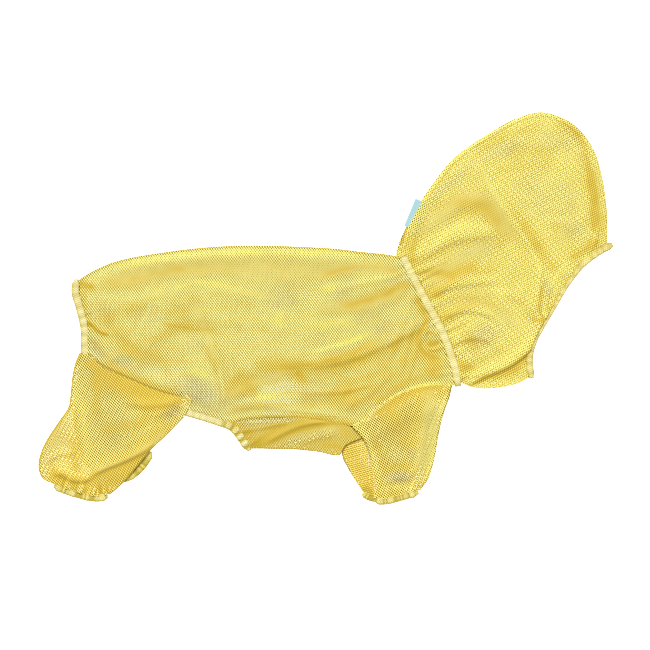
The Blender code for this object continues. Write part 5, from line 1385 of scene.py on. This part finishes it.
def makeCasing(name, look, path, upper, lower, cadNode):
    # the band runs along the upper layer, turns at the end and comes back under the lower
    steps, turnSteps = look["steps"], 4
    shares = np.linspace(0.0, 1.0, steps)
    backShares = np.linspace(1.0, 0.0, steps // 3)
    spots = lineAt(path, shares)
    backSpots = lineAt(path, backShares)
    thickness = look["thickness"]
    run = withHeight(spots, upper(spots, shares) + thickness / 2)
    back = withHeight(backSpots, lower(backSpots, backShares) + thickness / 2)
    farTurn = turnedEdge(run[-1:], back[:1], lineHeading(path, np.ones(1)), turnSteps)[0]
    nearTurn = turnedEdge(run[:1], back[-1:], -lineHeading(path, np.zeros(1)), turnSteps)[0]
    centre = np.concatenate([run, farTurn, back, nearTurn[::-1]])
    around = np.concatenate([shares, np.ones(turnSteps), backShares, np.zeros(turnSteps)])
    onTop = np.concatenate([np.ones(steps), np.linspace(0.8, 0.2, turnSteps),
                            np.zeros(len(backShares)), np.linspace(0.2, 0.8, turnSteps)])
    ahead = np.roll(centre, -1, axis=0) - np.roll(centre, 1, axis=0)
    side = withHeight(lineSide(path, around), np.zeros(len(around)))
    outward = np.cross(ahead, side)
    outward = outward / np.linalg.norm(outward, axis=1, keepdims=True)

    half = look["width"] / 2
    section = np.array(bandProfile) * [half, 1.0]
    section[[0, -1], 0] -= 0.3         # the sewn edges lie a little further in
    wave = unevenWave(around, look["count"], look["seed"])
    fine = unevenWave(around, look["count"] * 2.7, look["seed"] + 1)
    lively = easedTable(look["lively"], around) * onTop
    swell = look["height"] * ((wave - 0.5) + 0.45 * (fine - 0.5)) * lively
    pinch = 1.0 + look["pinch"] * (wave - 0.5) * lively
    fromEnd = np.minimum(around, 1.0 - around) * lineLengths(path)[-1]
    pinch = pinch * (1.0 - look["taper"] * bell(fromEnd, 2.4))
    narrow = easedTable(look.get("widths", steady), around)
    rows = []
    for sideways, raised in section:
        lift = raised * thickness + (swell if raised > 0.2 else 0.4 * swell * (raised > 0))
        place = sideways * pinch * narrow + (1.0 - narrow) * half
        rows.append(centre + side * place[:, None] + outward * lift[:, None])
    grid = np.stack(rows)
    length = lineLengths(centre)
    girth = lineLengths(section * [1.0, thickness])
    # the folded strip's outer edge lies at width, so its top reads from 0 to width
    aside = np.abs(girth - girth[-1])
    cut = np.stack(np.broadcast_arrays(length[None, :], aside[:, None]), axis=-1)
    # painted shade between the band's gathers and along its rims
    depth = np.broadcast_to((1.0 - wave) ** 2 * look["tone"] * lively, grid.shape[:2])
    for strength, fromSide in zip(look["rimShade"], (half - section[:, 0], half + section[:, 0])):
        depth = depth + strength * ease((1.7 - fromSide) / 1.2)[:, None]
    made = gridMesh(name, grid, cut, depth, look["paint"], ring=True)
    # the strip is cut a little longer than its loop
    flat = (stripWidth * look["width"] / bandWidth, 1.02 * length[-1] * millimetre)
    laid(made, cadNode, flat)


def flatLevel(height):
    return lambda spots, shares: np.full(len(shares), height)


def tableLevel(rows):
    return lambda spots, shares: easedTable(rows, shares)


def besideLimb(rest, raised):
    # that much above the underside of a limb's end
    return lambda spots, shares: rest(spots, np.ones(1)) - levels["onFloor"] + raised


neckBand = {"width": 9.5, "thickness": 1.5, "steps": 150, "count": 13, "height": 0.35,
            "pinch": 0.03, "tone": 0.30, "seed": 2, "restsOn": ["bodyPanel", "floor"],
            "lively": steady, "rimShade": (0.75, 0.75), "taper": 0.3,
            "paint": bandMaterial("neckCasing", 10.5)}
faceBand = {"width": 7.5, "thickness": 1.5, "steps": 170, "count": 16, "height": 0.5,
            "pinch": 0.08, "tone": 0.45, "seed": 5, "restsOn": ["floor"],
            "lively": steady, "rimShade": (0.9, 0.8), "taper": 0.4,
            "widths": [(0.0, 1.2), (0.10, 1.0), (0.24, 1.0), (0.34, 0.72), (0.58, 0.64),
                       (0.70, 0.7), (0.80, 0.9), (1.0, 1.15)],
            "paint": bandMaterial("faceCasing", 8.5, (0.84, 0.74, 0.30, 1.0))}
seatBand = {"width": 8.8, "thickness": 1.5, "steps": 300, "count": 30, "height": 0.6,
            "pinch": 0.05, "tone": 0.55, "seed": 3, "restsOn": ["floor"],
            "lively": [(0.0, 0.8), (0.3, 0.8), (0.66, 0.5), (0.84, 0.4), (0.88, 1.9),
                       (1.0, 2.2)],
            "rimShade": (0.35, 0.95), "taper": 0.5,
            "upper": [(0.00, 3.2), (0.70, 3.2), (0.85, 2.3), (1.00, 2.2)],
            "lower": [(0.00, 0.0), (0.15, 0.0), (0.23, 1.3), (0.74, 1.3), (0.80, 0.0),
                      (1.00, 0.0)],
            "paint": bandMaterial("seatCasing", 9.8)}
cuffBand = {"width": 8.0, "thickness": 1.3, "steps": 80, "count": 6, "height": 1.1,
            "pinch": 0.16, "tone": 1.0, "seed": 4, "restsOn": ["floor"],
            "lively": steady, "rimShade": (0.45, 1.0), "taper": 0.5,
            "paint": bandMaterial("cuffCasing", 9.0, (0.84, 0.76, 0.30, 1.0))}
farCuffBand = dict(cuffBand, thickness=1.0, height=0.6, count=4, pinch=0.35,
                   paint=bandMaterial("farCuffCasing", 9.0, (0.78, 0.66, 0.16, 1.0)))

makeCasing("neckCasing", neckBand, seams["neckLine"],
           lambda spots, shares: bodyRise(shares, levels["armhole"]) - 0.1, flatLevel(0.0),
           "neck_casing")
makeCasing("faceCasing", faceBand, seams["faceLine"], flatLevel(2.2), flatLevel(0.0),
           "face_casing")
makeCasing("seatCasing", seatBand, seams["seatLine"], tableLevel(seatBand["upper"]),
           tableLevel(seatBand["lower"]), "seat_casing")
for name, look, cuff, upper, lower, cadNode, seed in (
        ("frontCuffRight", cuffBand, "rightFrontCuff", besideLimb(sleeveRest, 1.6),
         besideLimb(sleeveRest, 0.0), "front_cuff_right", 4),
        ("hindCuffRight", cuffBand, "rightHindCuff", besideLimb(hindRest, 1.6),
         besideLimb(hindRest, 0.0), "hind_cuff_right", 7),
        ("frontCuffLeft", farCuffBand, "leftFrontCuff", flatLevel(1.3), flatLevel(0.0),
         "front_cuff_left", 2),
        ("hindCuffLeft", farCuffBand, "leftHindCuff", flatLevel(1.3), flatLevel(0.0),
         "hind_cuff_left", 9)):
    makeCasing(name, dict(look, seed=seed), linePart(seams[cuff], 0.03, 0.94), upper, lower,
               cadNode)
print("casings made")


# tab in the crown seam, and care label between the layers
def makeRibbon(name, look, cadNode):
    # a grid shaped to four corners, with a slight wave
    bpy.ops.mesh.primitive_grid_add(x_subdivisions=look["cells"][0],
                                    y_subdivisions=look["cells"][1], size=2.0)
    made = bpy.context.object
    made.name = made.data.name = name
    ends = np.array(look["corners"], float)
    places = []
    for vertex in made.data.vertices:
        u = (vertex.co.x + 1) / 2
        v = (vertex.co.y + 1) / 2
        spot = mix(mix(ends[3], ends[0], u), mix(ends[2], ends[1], u), v)
        lift = look["wave"] * math.sin(5.0 * v + 1.1) * (0.4 + 0.6 * u)
        vertex.co = Vector((spot[0], spot[1], look["base"] + lift)) * millimetre
        places.append((u * look["size"][0], v * look["size"][1], u, v))
    cutMap = made.data.uv_layers.new(name="cut")
    bakeMap = made.data.uv_layers.new(name="OFBake")
    for corner in made.data.loops:
        x, y, u, v = places[corner.vertex_index]
        cutMap.data[corner.index].uv = (x * mapScale, y * mapScale)
        bakeMap.data[corner.index].uv = (0.01 + 0.98 * u, 0.01 + 0.98 * v)
    made.data.uv_layers.active = cutMap
    for spare in [layer.name for layer in made.data.uv_layers
                  if layer.name not in ("cut", "OFBake")]:
        made.data.uv_layers.remove(made.data.uv_layers[spare])
    made.data.materials.append(look["paint"])
    bpy.ops.object.shade_smooth()
    bpy.ops.object.select_all(action="DESELECT")
    laid(made, cadNode, tuple(size * millimetre for size in look["size"]))


tabLook = {
    "corners": [(98, 121), (85.5, 91), (98, 85.8), (110.5, 115.8)], "base": 1.8,
    "size": (13.5, 32.5), "cells": (12, 26), "wave": 0.15, "restsOn": ["hoodLeft"],
    "paint": ribbonMaterial("blueRibbon", (0.36, 0.58, 0.62, 1.0), (0.28, 0.50, 0.55, 1.0),
                            0.9, 0.45),
}
labelLook = {
    "corners": [(-70, -118.6), (-39, -118.6), (-39, -73), (-70, -73)], "base": 1.8,
    "size": (45.6, 31.0), "cells": (34, 24), "wave": 0.1, "restsOn": ["bodyPanel"],
    "paint": ribbonMaterial("whiteRibbon", (0.80, 0.76, 0.55, 1.0), (0.70, 0.65, 0.42, 1.0),
                            0.8, 0.6, glow=0.1),
}
makeRibbon("sideTab", tabLook, "side_tab")
makeRibbon("careLabel", labelLook, "care_label")
print("tab and label made")


stageLook = {
    "floorSize": 16.0,
    "floorColour": (0.92, 0.92, 0.92, 1.0),
    "floorGlow": 0.8,        # the suit was laid on a lit white table
    "skyStrength": 0.60,
    "sunStrength": 3.1,
    "sunAngle": 24.0,        # degrees: how soft the light's edge is
    "sunTurn": (42.0, -16.0),  # degrees about x and y: it comes from the back's side
    "cameraHeight": 2.203,
    "focusHeight": 0.003,    # the cloth's middle height, where the frame's width counts
    "frameWidth": 0.715,     # metres across the picture
    "frameCentre": (-0.00165, -0.01815),
}


def makeStage(look):
    bpy.ops.mesh.primitive_plane_add(size=look["floorSize"], location=(0, 0, 0))
    floor = bpy.context.object
    floor.name = floor.data.name = "floor"
    paint, tree, shader = startMaterial("paleFloor")
    place = node(tree, "ShaderNodeTexCoord")
    grain = node(tree, "ShaderNodeTexNoise", None,
                 {"Vector": Wire(tree, place.outputs["Object"]), "Scale": 40.0})
    tint = colourMix(tree, Wire(tree, grain.outputs[0]), look["floorColour"],
                     tuple(0.995 * part for part in look["floorColour"][:3]) + (1.0,))
    tree.links.new(tint.socket, shader.inputs["Base Color"])
    shader.inputs["Roughness"].default_value = 0.9
    shader.inputs["Specular IOR Level"].default_value = 0.1
    shader.inputs["Emission Color"].default_value = (1.0, 1.0, 1.0, 1.0)
    shader.inputs["Emission Strength"].default_value = look["floorGlow"]
    floor.data.materials.append(paint)
    bpy.ops.object.select_all(action="DESELECT")

    world = bpy.data.worlds.new("studio")
    world.use_nodes = True
    bpy.context.scene.world = world
    sky = world.node_tree.nodes["Background"]
    sky.inputs["Color"].default_value = (1.0, 1.0, 1.0, 1.0)
    sky.inputs["Strength"].default_value = look["skyStrength"]
    lamp = bpy.data.lights.new("softSun", "SUN")
    lamp.energy = look["sunStrength"]
    lamp.angle = math.radians(look["sunAngle"])
    sun = bpy.data.objects.new("softSun", lamp)
    turnX, turnY = look["sunTurn"]
    sun.rotation_euler = (math.radians(-turnX), math.radians(turnY), 0.0)
    sun.location = (0, 0, 2)
    bpy.context.scene.collection.objects.link(sun)

    lens = bpy.data.cameras.new("camera")
    lens.sensor_width = 36.0
    distance = look["cameraHeight"] - look["focusHeight"]
    lens.lens = lens.sensor_width * distance / look["frameWidth"]
    lens.clip_end = 20.0
    camera = bpy.data.objects.new("camera", lens)
    camera.location = look["frameCentre"] + (look["cameraHeight"],)
    bpy.context.scene.collection.objects.link(camera)
    bpy.context.scene.camera = camera
    # smoothing away the grain would smooth away the net
    bpy.context.scene.cycles.use_denoising = False
    bpy.context.scene.cycles.filter_width = 1.0
    view = bpy.context.scene.view_settings
    view.view_transform = "Standard"
    view.look = "None"
    view.exposure = 0.0
    view.gamma = 1.0


makeStage(stageLook)

print("suit, floor, light and camera ready")
